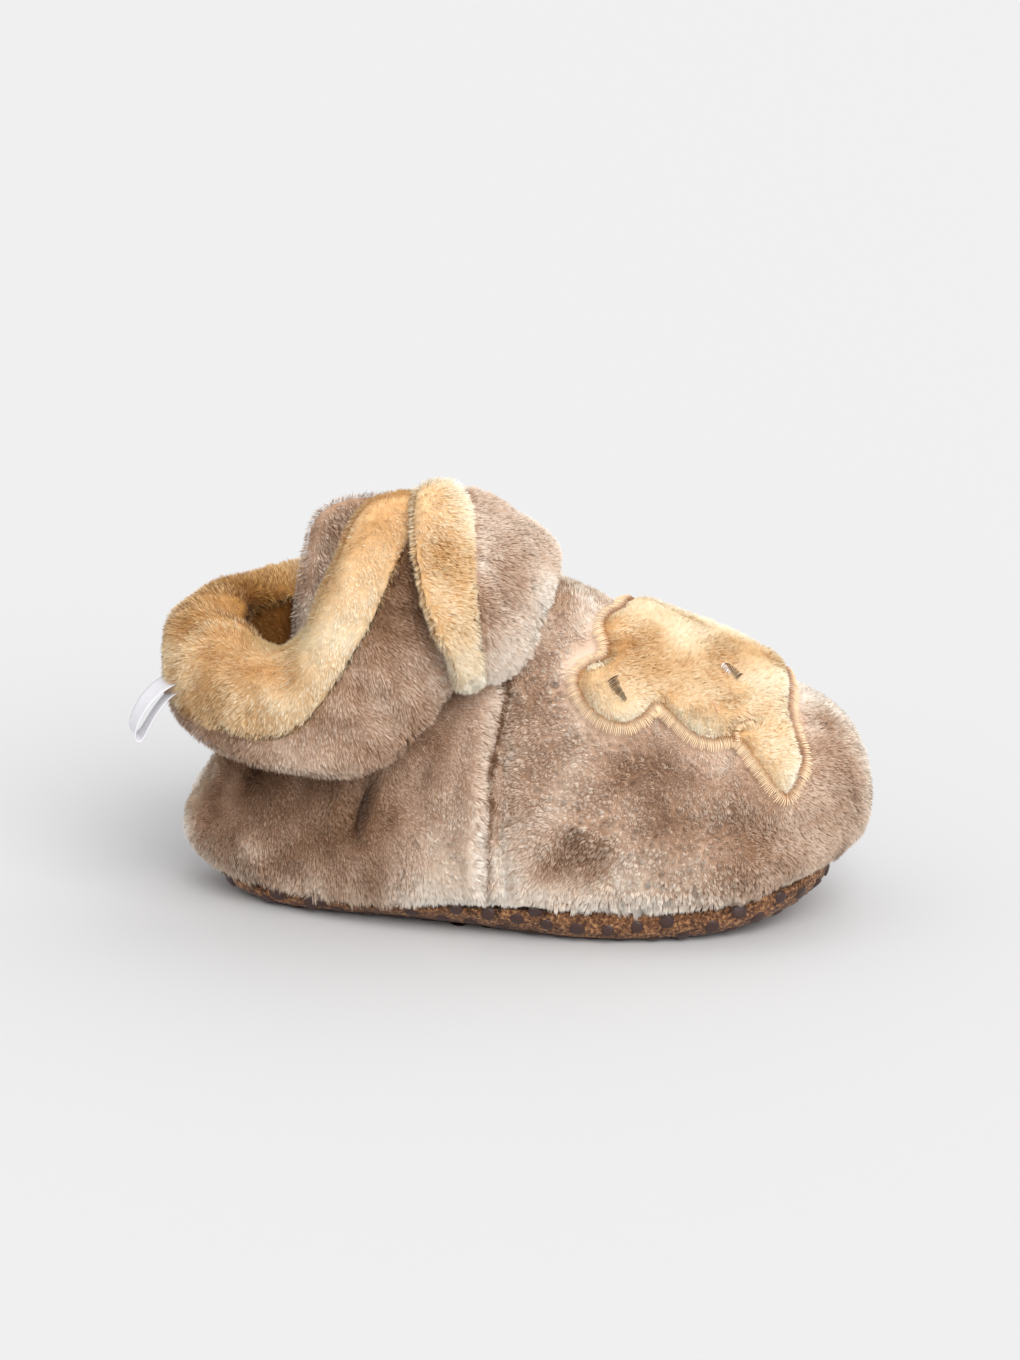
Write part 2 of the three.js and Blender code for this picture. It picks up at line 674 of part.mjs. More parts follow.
const materials = {
  taupe: new THREE.MeshStandardMaterial({ color: 0xa08a76, roughness: 0.95 }),
  tan: new THREE.MeshStandardMaterial({ color: 0xe3bd84, roughness: 0.95 }),
  suede: new THREE.MeshStandardMaterial({ color: 0x7d5a40, roughness: 0.95 }),
  satin: new THREE.MeshStandardMaterial({ color: 0xf2f2f4, roughness: 0.4 }),
};

const bootie = new THREE.Group();
function add(name, geometry, material) {
  const mesh = new THREE.Mesh(geometry, material);
  mesh.name = name;
  bootie.add(mesh);
}
add("upper", upperWall(), materials.taupe);
add("outsole", makeOutsole(), materials.suede);
add("insole", makeInsole(), materials.tan);
add("cuff", makeCuff(), materials.taupe);
add("cuff_trim", makeCuffTrim(), materials.tan);
add("front_flap", makeFrontFlap(), materials.taupe);
add("flap_trim", makeFlapTrim(), materials.tan);
add("tongue", makeTongue(), materials.taupe);
add("applique", makePatch(), materials.tan);
add("pull_loop", makeLoop(), materials.satin);

export default bootie;
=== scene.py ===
# %% [markdown]
# # A plush baby bootie
# The shoe is sewn from short-pile plush over a thin brushed-cloth sole. Its solids come from the packed
# frame, and this lesson dresses them: each solid gets a soft cloth body, and thousands of fine tufts grow
# out of that cloth. Lengths are in metres, the toe points along +X and the shoe stands on z = 0.

import math

import bpy
import numpy as np
from mathutils import Matrix, Vector, kdtree
from mathutils.bvhtree import BVHTree


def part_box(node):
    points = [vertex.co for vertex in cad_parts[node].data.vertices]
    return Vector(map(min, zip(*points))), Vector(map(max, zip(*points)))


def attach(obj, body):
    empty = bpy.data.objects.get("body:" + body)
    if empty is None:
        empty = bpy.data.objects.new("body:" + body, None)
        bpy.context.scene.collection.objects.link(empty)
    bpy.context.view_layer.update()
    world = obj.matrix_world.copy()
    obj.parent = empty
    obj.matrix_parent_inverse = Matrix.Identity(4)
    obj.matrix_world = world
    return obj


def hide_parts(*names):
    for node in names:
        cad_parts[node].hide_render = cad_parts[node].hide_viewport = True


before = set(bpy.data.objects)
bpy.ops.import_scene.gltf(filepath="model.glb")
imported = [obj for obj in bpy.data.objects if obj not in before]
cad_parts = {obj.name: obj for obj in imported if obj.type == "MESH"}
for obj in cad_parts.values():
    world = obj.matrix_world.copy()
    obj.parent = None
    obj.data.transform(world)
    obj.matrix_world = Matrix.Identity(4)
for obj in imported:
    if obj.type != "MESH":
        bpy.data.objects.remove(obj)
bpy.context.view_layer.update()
MM = 0.001
foot_low, foot_high = (Vector(corner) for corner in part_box("upper"))
FOOT = foot_high.x - foot_low.x
BALL = foot_high.y - foot_low.y
COLLAR = max(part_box(node)[1][2] for node in ("cuff_trim", "flap_trim"))
print(f"foot {FOOT / MM:.0f} mm long, {BALL / MM:.0f} mm wide, collar {COLLAR / MM:.0f} mm high")

# %% [markdown]
# ## Camera
# The photograph looks at the shoe's outer side from a little above, with a long lens from less than a
# metre away, and it is rolled by a degree or two. The camera is set from those angles, so it can be read
# and changed. The lens follows from how many millimetres one pixel of the 1020 x 1360 picture covers.

# %% The camera
AZIMUTH, ELEVATION, ROLL = math.radians(4.0), math.radians(16.0), math.radians(1.5)
DISTANCE = 0.8
PICTURE = (1020, 1360)
PIXEL = 0.181 * MM
AIM = Vector((0, 0, 0.030))
AIM_PIXEL = (527, 738)

back = Vector(
    (math.sin(AZIMUTH) * math.cos(ELEVATION), -math.cos(AZIMUTH) * math.cos(ELEVATION), math.sin(ELEVATION))
)
right = Vector((0, 0, 1)).cross(back).normalized()
up = back.cross(right)
right, up = (
    right * math.cos(ROLL) + up * math.sin(ROLL),
    up * math.cos(ROLL) - right * math.sin(ROLL),
)
middle = AIM - right * ((AIM_PIXEL[0] - PICTURE[0] / 2) * PIXEL) + up * ((AIM_PIXEL[1] - PICTURE[1] / 2) * PIXEL)
camera_data = bpy.data.cameras.new("camera")
camera_data.sensor_fit = "HORIZONTAL"
camera_data.sensor_width = 36
camera_data.lens = 36 * DISTANCE / (PICTURE[0] * PIXEL)
camera_data.clip_start = 0.05
camera_data.clip_end = 20
camera = bpy.data.objects.new("camera", camera_data)
turn = Matrix((right, up, back)).transposed().to_4x4()
camera.matrix_world = Matrix.Translation(middle + back * DISTANCE) @ turn
bpy.context.scene.collection.objects.link(camera)
bpy.context.scene.camera = camera
print(f"lens {camera_data.lens:.0f} mm at {DISTANCE} m")

# %% [markdown]
# ## Shader sums
# Materials are easier to read as sums than as node boxes. `Wire` holds one output socket, and its
# operators add Math nodes. `Shader` starts a material and adds any other node in one call.

# %% Wires and shaders
class Wire:
    """A number that varies over a surface, as a shader socket with Python's operators."""

    def __init__(self, shader, socket):
        self.shader = shader
        self.socket = socket

    def sum(self, operation, *others):
        return self.shader.node("ShaderNodeMath", {"operation": operation}, {i: o for i, o in enumerate(others)})

    def __add__(self, other):
        return self.sum("ADD", self, other)

    def __sub__(self, other):
        return self.sum("SUBTRACT", self, other)

    def __rsub__(self, other):
        return self.sum("SUBTRACT", other, self)

    def __mul__(self, other):
        return self.sum("MULTIPLY", self, other)

    def __pow__(self, other):
        return self.sum("POWER", self, other)

    def clamp(self, low=0.0, high=1.0):
        return self.sum("MINIMUM", self.sum("MAXIMUM", self, low), high)

    __radd__ = __add__
    __rmul__ = __mul__


class Shader:
    """A material under construction around one Principled node."""

    def __init__(self, name, **constants):
        self.material = bpy.data.materials.new(name)
        self.material.use_nodes = True
        self.tree = self.material.node_tree
        self.surface = self.tree.nodes["Principled BSDF"]
        for socket, value in constants.items():
            self.surface.inputs[socket.replace("_", " ")].default_value = value

    def node(self, kind, settings=None, inputs=None, output=0):
        node = self.tree.nodes.new(kind)
        for key, value in (settings or {}).items():
            if key == "stops":
                self.set_stops(node.color_ramp, value)
            else:
                setattr(node, key, value)
        for key, value in (inputs or {}).items():
            if isinstance(value, Wire):
                self.tree.links.new(value.socket, node.inputs[key])
            elif value is not None:
                node.inputs[key].default_value = value
        return Wire(self, node.outputs[output])

    @staticmethod
    def set_stops(ramp, stops):
        while len(ramp.elements) < len(stops):
            ramp.elements.new(0.5)
        for element, (place, colour) in zip(ramp.elements, stops):
            element.position = place
            element.color = (*colour, 1)

    def ramp(self, value, stops):
        return self.node("ShaderNodeValToRGB", {"stops": stops}, {0: value})

    def mix(self, share, a, b, blend="MIX"):
        settings = {"data_type": "RGBA", "blend_type": blend}
        colours = [(*c, 1) if isinstance(c, tuple) and len(c) == 3 else c for c in (a, b)]
        return self.node("ShaderNodeMix", settings, {0: share, 6: colours[0], 7: colours[1]}, output=2)

    def place(self):
        return self.node("ShaderNodeTexCoord", output=3)

    def noise(self, scale, detail=2.0, rough=0.5, at=None):
        inputs = {"Vector": at or self.place(), "Scale": scale, "Detail": detail, "Roughness": rough}
        return self.node("ShaderNodeTexNoise", {"noise_dimensions": "3D"}, inputs)

    def stored(self, name, channel=None):
        wire = self.node("ShaderNodeAttribute", {"attribute_name": name}, output=0)
        if channel is None:
            return wire
        return self.node("ShaderNodeSeparateColor", {}, {0: wire}, output=channel)

    def feed(self, socket, wire):
        self.tree.links.new(wire.socket, self.surface.inputs[socket])

    def bump(self, height, distance, strength=1.0):
        inputs = {"Height": height, "Distance": distance, "Strength": strength}
        self.feed("Normal", self.node("ShaderNodeBump", {}, inputs))


def linear(red, green, blue):
    """A colour read as 0 to 255 on screen, as the linear values that shaders take."""
    shares = (c / 255 for c in (red, green, blue))
    return tuple(s / 12.92 if s <= 0.04045 else ((s + 0.055) / 1.055) ** 2.4 for s in shares)


print("shader helpers ready")

# %% [markdown]
# ## Plush
# Plush pile is a mass of fine fibres that stand together in small tufts. All its colours lie on one scale, from the
# deep warm shade between the fibres to the pale, almost silvery tips: down each fibre the colour is painted shade at
# the root and painted light at the tip. Pile brushed away from the eye shows its darker half, and pile that stands
# towards the eye shows its tips. Every fibre made below stores how far along it a point is, a number of its own and its
# tone, and their sum picks the place on the scale. The tone is partly the brushed nap and partly painted light and
# shade. The sheen is the soft light that a fibre's edge catches.

# %% Plush colours
def plush(name, scale, sheen):
    """A pile material from five colours: between the fibres, brushed away, even, raised and tips."""
    shader = Shader(name, Roughness=0.8, Sheen_Weight=sheen, Sheen_Roughness=0.45, IOR=1.35)
    shader.surface.inputs["Specular IOR Level"].default_value = 0.15
    shader.surface.inputs["Sheen Tint"].default_value = (*scale[4], 1)
    along = shader.stored("pile", 0)
    own = shader.stored("pile", 1)
    tone = shader.stored("pile", 2)
    # How far along the fibre gives painted shade at the roots and painted light at the tips; the tone adds painted
    # light and shade to the nap's brushing.
    level = (tone + (own - 0.5) * 0.38 + (along - 0.52) * 0.5).clamp()
    shader.feed("Base Color", shader.ramp(level, list(zip((0.0, 0.25, 0.5, 0.75, 1.0), scale))))
    return shader.material


taupe = plush(
    "taupe_plush",
    (linear(94, 64, 44), linear(148, 113, 86), linear(196, 163, 138), linear(231, 210, 189), linear(248, 238, 225)),
    0.22,
)
tan = plush(
    "tan_plush",
    (linear(124, 80, 36), linear(186, 139, 80), linear(227, 187, 136), linear(243, 222, 185), linear(252, 243, 222)),
    0.12,
)
print("plush materials ready")

# %% [markdown]
# ## Cloth bodies
# A plush solid from the frame has flat facets and crisp edges. Remeshing a copy into small even squares
# and smoothing it gives the round, slack body of sewn plush. The pile needs room to grow, so the body is
# drawn in a little from the solid's surface.

# %% Cloth bodies from the solids
def unit(vectors):
    return vectors / np.maximum(np.linalg.norm(vectors, axis=-1, keepdims=True), 1e-12)


def point_normals(points, triangles):
    corners = points[triangles]
    face = np.cross(corners[:, 1] - corners[:, 0], corners[:, 2] - corners[:, 0])
    normals = np.zeros_like(points)
    for k in range(3):
        np.add.at(normals, triangles[:, k], face)
    return unit(normals)


def arrays_of(mesh):
    mesh.calc_loop_triangles()
    points = np.empty(len(mesh.vertices) * 3)
    mesh.vertices.foreach_get("co", points)
    triangles = np.empty(len(mesh.loop_triangles) * 3, dtype=np.int64)
    mesh.loop_triangles.foreach_get("vertices", triangles)
    points, triangles = points.reshape(-1, 3), triangles.reshape(-1, 3)
    return {"points": points, "triangles": triangles, "normals": point_normals(points, triangles)}


def soft_copy(node, voxel, rounds):
    """A node's solid as an evenly meshed, smoothed copy: points, triangles and normals."""
    work = bpy.data.objects.new("work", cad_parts[node].data.copy())
    bpy.context.scene.collection.objects.link(work)
    remesh = work.modifiers.new("remesh", "REMESH")
    remesh.mode = "VOXEL"
    remesh.voxel_size = voxel
    smooth = work.modifiers.new("smooth", "SMOOTH")
    smooth.factor = 0.5
    smooth.iterations = rounds
    mesh = bpy.data.meshes.new_from_object(work.evaluated_get(bpy.context.evaluated_depsgraph_get()))
    bpy.data.objects.remove(work)
    return arrays_of(mesh)


def moved(cloth, distance):
    """The cloth with each point moved along its normal by its own distance."""
    points = cloth["points"] + cloth["normals"] * np.reshape(distance, (-1, 1))
    return {**cloth, "points": points, "normals": point_normals(points, cloth["triangles"])}


def part_of(cloth, keep):
    """The part of a cloth whose triangles have all three points in the mask."""
    triangles = cloth["triangles"][keep[cloth["triangles"]].all(axis=1)]
    used = np.unique(triangles)
    renumber = np.zeros(len(cloth["points"]), dtype=np.int64)
    renumber[used] = np.arange(len(used))
    return {
        "points": cloth["points"][used],
        "normals": cloth["normals"][used],
        "triangles": renumber[triangles],
    }


def mesh_piece(name, points, triangles, material, replaces=(), normals=None, pile=None):
    """A mesh object from arrays that rides on the shoe."""
    mesh = bpy.data.meshes.new(name)
    mesh.vertices.add(len(points))
    mesh.vertices.foreach_set("co", np.asarray(points, dtype=np.float32).ravel())
    mesh.loops.add(len(triangles) * 3)
    mesh.loops.foreach_set("vertex_index", np.asarray(triangles, dtype=np.int32).ravel())
    mesh.polygons.add(len(triangles))
    mesh.polygons.foreach_set("loop_start", np.arange(len(triangles), dtype=np.int32) * 3)
    mesh.update(calc_edges=True)
    mesh.validate()
    mesh.shade_smooth()
    if pile is not None:
        colour = mesh.color_attributes.new("pile", "FLOAT_COLOR", "POINT")
        colour.data.foreach_set("color", np.c_[pile, np.ones(len(pile))].astype(np.float32).ravel())
    if normals is not None:
        mesh.normals_split_custom_set_from_vertices(normals.tolist())
    mesh.materials.append(material)
    piece = bpy.data.objects.new(name, mesh)
    bpy.context.scene.collection.objects.link(piece)
    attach(piece, "root")
    if replaces:
        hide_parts(*replaces)
    print(f"{name}: {len(triangles)} triangles")
    return piece


def body_piece(name, cloth, look, replaces=(), shade=0.3):
    """The cloth itself, coloured like the foot of the pile. shade is one tone or one for each point."""
    pile = np.full((len(cloth["points"]), 3), 0.5)
    # The cloth takes the root end of the scale: the painted shade seen between the fibres.
    pile[:, 0] = 0.2
    pile[:, 2] = shade
    return mesh_piece(name, cloth["points"], cloth["triangles"], look, replaces, pile=pile)


# %% [markdown]
# ## Waves, spots and creases
# Three rules shape everything soft. Slow waves, a sum of a few sines in seeded random directions, keep a
# surface from being quite even. A soft spot is 1 at a place and fades to nothing around it. A crease is a
# trough along a line with a low ridge on either side, which is how sewn plush folds. Places are given as
# shares of the shoe's own sizes in percent: along the foot from the heel, across from the middle
# line to the ball's widest (negative on the outer side), and up from the floor to the collar's top.

# %% Waves, spots and creases
def place(length, across, height):
    return np.array([foot_low.x + FOOT * length / 100, BALL / 2 * across / 100, COLLAR * height / 100])


def waves(points, length, seed, count=9):
    """A smooth field from about -1 to 1 whose bumps are about length apart."""
    draw = np.random.default_rng(seed)
    directions = unit(draw.normal(size=(count, 3))) * (2 * math.pi / length) * draw.uniform(0.6, 1.5, (count, 1))
    phases = draw.uniform(0, 2 * math.pi, count)
    return np.sin(points @ directions.T + phases).sum(axis=1) / math.sqrt(count / 2) * 0.6


def spot(points, centre, reach):
    """1 at a place, fading softly to 0 at the reach in millimetres."""
    apart = np.linalg.norm(points - place(*centre), axis=1) / (reach * MM)
    return np.clip(1 - apart**2, 0, 1) ** 2


def spots(points, table):
    """The sum of soft spots, each (centre, reach, amount)."""
    return sum(spot(points, centre, reach) * amount for centre, reach, amount in table)


def tones(points, table, reach, rest):
    """A smooth field that takes each named tone near its own place and falls back to rest elsewhere."""
    total = np.full(len(points), 0.03)
    field = np.full(len(points), 0.03 * rest)
    for centre, tone in table:
        weight = np.exp(-(np.linalg.norm(points - place(*centre), axis=1) / (reach * MM)) ** 2)
        total += weight
        field += weight * tone
    return field / total


def beside(points, path):
    """How far each point is from a path of places, and how far along the path its nearest place is."""
    line = np.array([place(*p) for p in path])
    steps = np.linalg.norm(np.diff(line, axis=0), axis=1)
    best = np.full(len(points), np.inf)
    along = np.zeros(len(points))
    done = 0.0
    for start, end, step in zip(line[:-1], line[1:], steps):
        t = np.clip((points - start) @ (end - start) / step**2, 0, 1)
        apart = np.linalg.norm(points - (start + t[:, None] * (end - start)), axis=1)
        along = np.where(apart < best, (done + t * step) / steps.sum(), along)
        best = np.minimum(best, apart)
        done += step
    return best, along


def crease(points, path, width, depth, ridge=0.35, open_ends=False):
    """A soft trough along a path, width and depth in millimetres, with low ridges beside it."""
    apart, along = beside(points, path)
    across = apart / (width * MM)
    trough = -np.exp(-(across**2)) + ridge * np.exp(-((across - 1.8) ** 2) * 2)
    fade = 1.0 if open_ends else np.clip(np.minimum(along, 1 - along) * 4 + 0.35, 0, 1)
    return trough * depth * MM * fade


def creases(points, table):
    return sum(crease(points, *row) for row in table)


# %% [markdown]
# ## Growing the pile
# Each fibre is one narrow triangle that starts on the cloth, leans with the nap and is widest at its shoulder, so close
# pile needs few triangles. Fibres near the same tuft centre draw together at their tips, which opens the small dark
# gaps between tufts. Where the pile is tousled the tufts stand up and part, with more painted contrast from root to
# tip, painted shade at the roots and painted light at the tips, and elsewhere they lie brushed, close and even. The
# spikes carry the cloth's own normals, tilted by the nap and by their tuft, so that light falls on them as on one soft
# surface and not as on thousands of flat chips.

# %% Growing pile on a cloth
def triangle_areas(cloth):
    corners = cloth["points"][cloth["triangles"]]
    return np.linalg.norm(np.cross(corners[:, 1] - corners[:, 0], corners[:, 2] - corners[:, 0]), axis=1) / 2


def scatter(cloth, count, weight, draw):
    """Random places on a cloth and the normals there, with weight saying how close they stand."""
    chance = triangle_areas(cloth) * weight[cloth["triangles"]].mean(axis=1)
    chosen = draw.choice(len(chance), count, p=chance / chance.sum())
    a, b = np.sqrt(draw.random(count)), draw.random(count)
    shares = np.stack([1 - a, a * (1 - b), a * b], axis=1)[:, :, None]
    points = (cloth["points"][cloth["triangles"][chosen]] * shares).sum(axis=1)
    normals = unit((cloth["normals"][cloth["triangles"][chosen]] * shares).sum(axis=1))
    return points, normals


def nearest(targets, points):
    """For each point, which target is nearest."""
    tree = kdtree.KDTree(len(targets))
    for i, target in enumerate(targets.tolist()):
        tree.insert(target, i)
    tree.balance()
    return np.array([tree.find(point)[1] for point in points.tolist()])


def even_shade(points):
    return 0.5 + 0.12 * waves(points, 16 * MM, 43)


def even_tousle(points):
    return 0.45 + 0.3 * waves(points, 14 * MM, 44)


def grow_pile(name, cloth, look, count, length, nap, seed, weight=None, shade=even_shade, tousle=even_tousle,
              tuft=0.62, width=0.18, stretch=None, wander=0.35, uneven=1.0):
    """A mesh of spikes on the cloth. length, tuft and width are in millimetres, and uneven is how much the
    spikes differ in colour. nap gives the direction that the pile is brushed in and by its length how
    hard, shade how pale it looks, tousle how far the tufts part and stretch a factor on their length."""
    draw = np.random.default_rng(seed)
    weight = np.ones(len(cloth["points"])) if weight is None else weight
    roots, normals = scatter(cloth, count, weight, draw)
    area = (triangle_areas(cloth) * weight[cloth["triangles"]].mean(axis=1)).sum()
    tufts, tuft_normals = scatter(cloth, max(8, int(area / (tuft * MM) ** 2)), weight, draw)
    mine = nearest(tufts, roots)

    def leaning(points, normal, lean, jitter):
        flow = nap(points, normal)
        lean = lean * np.linalg.norm(flow, axis=1)
        flow = unit(flow)
        flow = flow + np.stack([waves(points, 11 * MM, seed + k) for k in (1, 2, 3)], axis=1) * wander
        flow = unit(flow - normal * (flow * normal).sum(axis=1, keepdims=True))
        return unit(normal + flow * lean[:, None] + draw.normal(size=points.shape) * jitter)

    loose = np.clip(tousle(tufts), 0, 1)
    lean = 0.8 - 0.45 * loose
    tuft_way = leaning(tufts, tuft_normals, lean, 0.14)
    tuft_tall = length * MM * draw.uniform(0.8, 1.15, len(tufts))
    if stretch is not None:
        tuft_tall *= stretch(tufts, tuft_normals)
    tips = tufts + tuft_way * tuft_tall[:, None]
    way = leaning(roots, normals, lean[mine], 0.1)
    tall = tuft_tall[mine] * draw.uniform(0.7, 1.05, count)
    tip = roots + way * tall[:, None]
    gather = (0.1 + 0.42 * loose)[mine][:, None] * draw.uniform(0.6, 1.2, (count, 1))
    tip += (tips[mine] - tip) * gather

    along = unit(tip - roots)
    side = unit(np.cross(along, normals) + draw.normal(size=normals.shape) * 0.25)
    half = side * width * MM * draw.uniform(0.35, 0.65, (count, 1)) * draw.choice([-1.0, 1.0], (count, 1))
    shoulder = roots + (tip - roots) * draw.uniform(0.45, 0.75, (count, 1)) + half
    corners = np.stack([roots - half * 0.4, shoulder, tip], axis=1)
    faces = np.arange(count * 3).reshape(-1, 3)
    turned = (np.cross(corners[:, 1] - roots, corners[:, 2] - roots) * normals).sum(axis=1) < 0
    faces[turned] = faces[turned][:, ::-1]
    across = unit(normals - along * (normals * along).sum(axis=1, keepdims=True))
    tilt = draw.normal(size=tufts.shape) * (0.14 + 0.26 * loose)[:, None]
    lit = unit(normals * 0.75 + across * 0.35 + tilt[mine])
    pile = np.empty((count, 3, 3))
    # The spread from root to tip is wider where tufts part: more painted shade at the roots and painted light at the
    # tips.
    contrast = uneven * (0.55 + 0.75 * loose)[mine][:, None]
    own = draw.random(count) * 0.6 + draw.random(len(tufts))[mine] * 0.4
    pile[:, :, 0] = 0.55 + (np.array([0, 0.6, 1]) - 0.55) * contrast
    pile[:, :, 1] = 0.5 + (own[:, None] - 0.5) * contrast
    pile[:, :, 2] = np.clip(shade(roots), 0, 1)[:, None]
    return mesh_piece(name, corners.reshape(-1, 3), faces, look, normals=np.repeat(lit, 3, axis=0),
                      pile=pile.reshape(-1, 3))


# %% [markdown]
# ## What lies over the cloth
# No pile is needed where another piece covers the cloth. A short look along the normal tells: if another
# solid is within a few millimetres, that place is hidden, and the fibres go where they are seen.

# %% Which places are covered
solids = {}
for node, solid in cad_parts.items():
    data = arrays_of(solid.data)
    solids[node] = BVHTree.FromPolygons(data["points"].tolist(), data["triangles"].tolist())


def in_open_air(cloth, others, reach):
    """1 where none of the named solids lies within reach (millimetres) along the normal, else 0."""
    free = np.ones(len(cloth["points"]))
    for i, (point, normal) in enumerate(zip(cloth["points"].tolist(), cloth["normals"].tolist())):
        if any(solids[node].ray_cast(Vector(point), Vector(normal), reach * MM)[0] for node in others):
            free[i] = 0
    return free


print("solids ready:", ", ".join(solids))

# %% [markdown]
# ## The foot
# The upper is two plush panels, a vamp round the toe and a quarter round the heel, joined at a seam on
# each side. The seam pulls the plush into a shallow groove, no deeper than the wall is thick, and a second
# fold runs close in front of it. The ankle is gathered on elastic under the cuff, so short puckers run down
# from it. The vamp has two long soft ridges with a dent between them. The solid is one wall, so the copy
# is split: what looks away from the foot's middle is plush, and the rest is lining.

# %% The foot's cloth
INSET = 0.85 * MM
upper = soft_copy("upper", 1.3 * MM, 6)


def spine(points):
    """The nearest place on a bent line through the middle of the shoe, from the toe to the ankle and up."""
    ankle = place(27, 0, 20)
    foot_part = np.stack([
        np.clip(points[:, 0], place(20, 0, 0)[0], place(80, 0, 0)[0]),
        np.zeros(len(points)),
        np.full(len(points), ankle[2]),
    ], axis=1)
    leg_part = np.stack([
        np.full(len(points), ankle[0]), np.zeros(len(points)), np.clip(points[:, 2], ankle[2], COLLAR)
    ], axis=1)
    near_leg = np.linalg.norm(points - leg_part, axis=1) < np.linalg.norm(points - foot_part, axis=1)
    return np.where(near_leg[:, None], leg_part, foot_part)


outward = ((upper["points"] - spine(upper["points"])) * upper["normals"]).sum(axis=1) > 0

SEAM = [
    (48, -40, 68), (47.6, -52, 61), (47, -62, 55), (46.4, -68, 49), (46, -74, 44), (45.4, -81, 38), (45.8, -88, 30),
    (45.6, -93, 22), (45.8, -93, 14), (46, -90, 8),
]
FOLD = [
    (48.6, -62, 54), (48.2, -69, 49), (48.2, -77, 43), (48.9, -87, 33), (48.2, -92, 25), (49.2, -96, 18),
    (49.4, -92, 10),
]
QUARTER_EDGE = [(length - 1.7, across, height) for length, across, height in SEAM]


def mirrored(path):
    """The same path on the foot's inner side."""
    return [(length, -across, height) for length, across, height in path]


def past_seam(points):
    """How far each point lies past the seam towards the toe, in millimetres."""
    heights = [place(*p)[2] for p in reversed(SEAM)]
    lengths = [place(*p)[0] for p in reversed(SEAM)]
    return (points[:, 0] - np.interp(points[:, 2], heights, lengths)) / MM


def off_fold(points):
    """How far each point is from the fold beside the seam, in millimetres."""
    return np.minimum(beside(points, FOLD)[0], beside(points, mirrored(FOLD))[0]) / MM


FOOT_CREASES = (
    (SEAM, 1.2, 1.1, 0.2, True),
    (mirrored(SEAM), 1.2, 1.1, 0.2, True),
    (FOLD, 1.1, 1.0, 0.2, True),
    (mirrored(FOLD), 1.1, 1.0, 0.2, True),
    ([(30, -58, 39), (27, -71, 30), (26, -77, 22)], 2.0, 1.7),
    ([(38, -65, 43), (36, -76, 36), (35, -81, 31)], 2.2, 0.5),
    ([(20, -50, 36), (18, -59, 29), (17, -63, 25)], 2.4, 0.6),
    ([(12, -34, 34), (9, -44, 27)], 2.4, 0.5),
    ([(30, 58, 39), (28, 71, 30), (27, 77, 22)], 2.2, 1.6),
    ([(39, 65, 44), (37, 76, 36)], 1.8, 1.1),
    ([(20, 50, 36), (18, 60, 27)], 1.9, 1.3),
    ([(8, 10, 36), (4, 12, 28)], 2.0, 1.2),
    ([(74, -82, 30), (85, -72, 27), (92, -53, 25)], 3.2, 1.1),
    ([(49, -50, 62), (53, -61, 54), (55, -69, 47)], 1.3, 0.6),
    ([(52, -48, 62), (56, -63, 53), (57, -70, 47)], 1.3, 0.5),
    ([(72, 82, 30), (84, 74, 26)], 3.0, 0.8),
)
FOOT_RIDGES = (
    (QUARTER_EDGE, 1.8, -0.5, 0.0),
    (mirrored(QUARTER_EDGE), 1.8, -0.5, 0.0),
    ([(52, -92, 25), (57, -91, 29), (64, -91, 26), (70, -89, 21)], 3.0, -0.8, 0.0),
    ([(64, -94, 15), (75, -87, 16), (82, -79, 18)], 3.0, -0.7, 0.0),
    ([(9, -47, 20), (11, -54, 14), (12, -58, 8)], 2.5, -0.6, 0.0),
    ([(56, 92, 26), (66, 91, 22), (76, 86, 18)], 3.0, -0.7, 0.0),
)
FOOT_DENTS = (((59, -96, 19), 7.5, -1.5), ((64, 94, 30), 8.0, -0.8), ((3, -20, 24), 7.0, -0.6))
shape = creases(upper["points"], FOOT_CREASES + FOOT_RIDGES) + spots(upper["points"], FOOT_DENTS) * MM
shape += waves(upper["points"], 18 * MM, 5) * 0.25 * MM
foot = moved(upper, np.where(outward, shape - INSET, 0.0))
outer_cloth = part_of(foot, outward)
inner_cloth = part_of(foot, ~outward)
print(f"{outward.sum()} points of plush, {(~outward).sum()} of lining")

# %% [markdown]
# ## The patch's outline
# The patch on the vamp has a wavy outline with an ear at its front corner and a small notch at its rear
# one. It is worked out before the foot's pile grows, because the plush round a sewn-on patch is pressed down
# and pushed away from it. The table gives places along and across the foot, and a smooth closed line
# through them is dropped on the upper.

# %% The patch's outline on the upper
PATCH_EDGE = [
    (62.4, -9), (60.9, -20), (60.2, -29), (61.2, -38), (60.9, -43.5), (58.9, -47.5), (57.3, -54), (58.3, -61),
    (61, -65.5), (64.5, -66), (67.2, -61.5), (69, -55.5), (71, -57.5), (74, -60.5), (77, -59.5), (80.3, -55),
    (83.2, -59), (86, -63), (88.2, -60.5), (90, -51), (89.8, -44.5), (88.7, -37.5), (87.9, -29), (87.7, -10),
    (87.2, 12), (86, 29), (82.3, 42), (77.8, 50), (72.2, 51), (67.5, 44.5), (64.2, 31), (63.2, 11),
]
EAR_LINE = [(80.3, -55), (80.1, -51), (81.2, -47.5), (82.3, -45)]


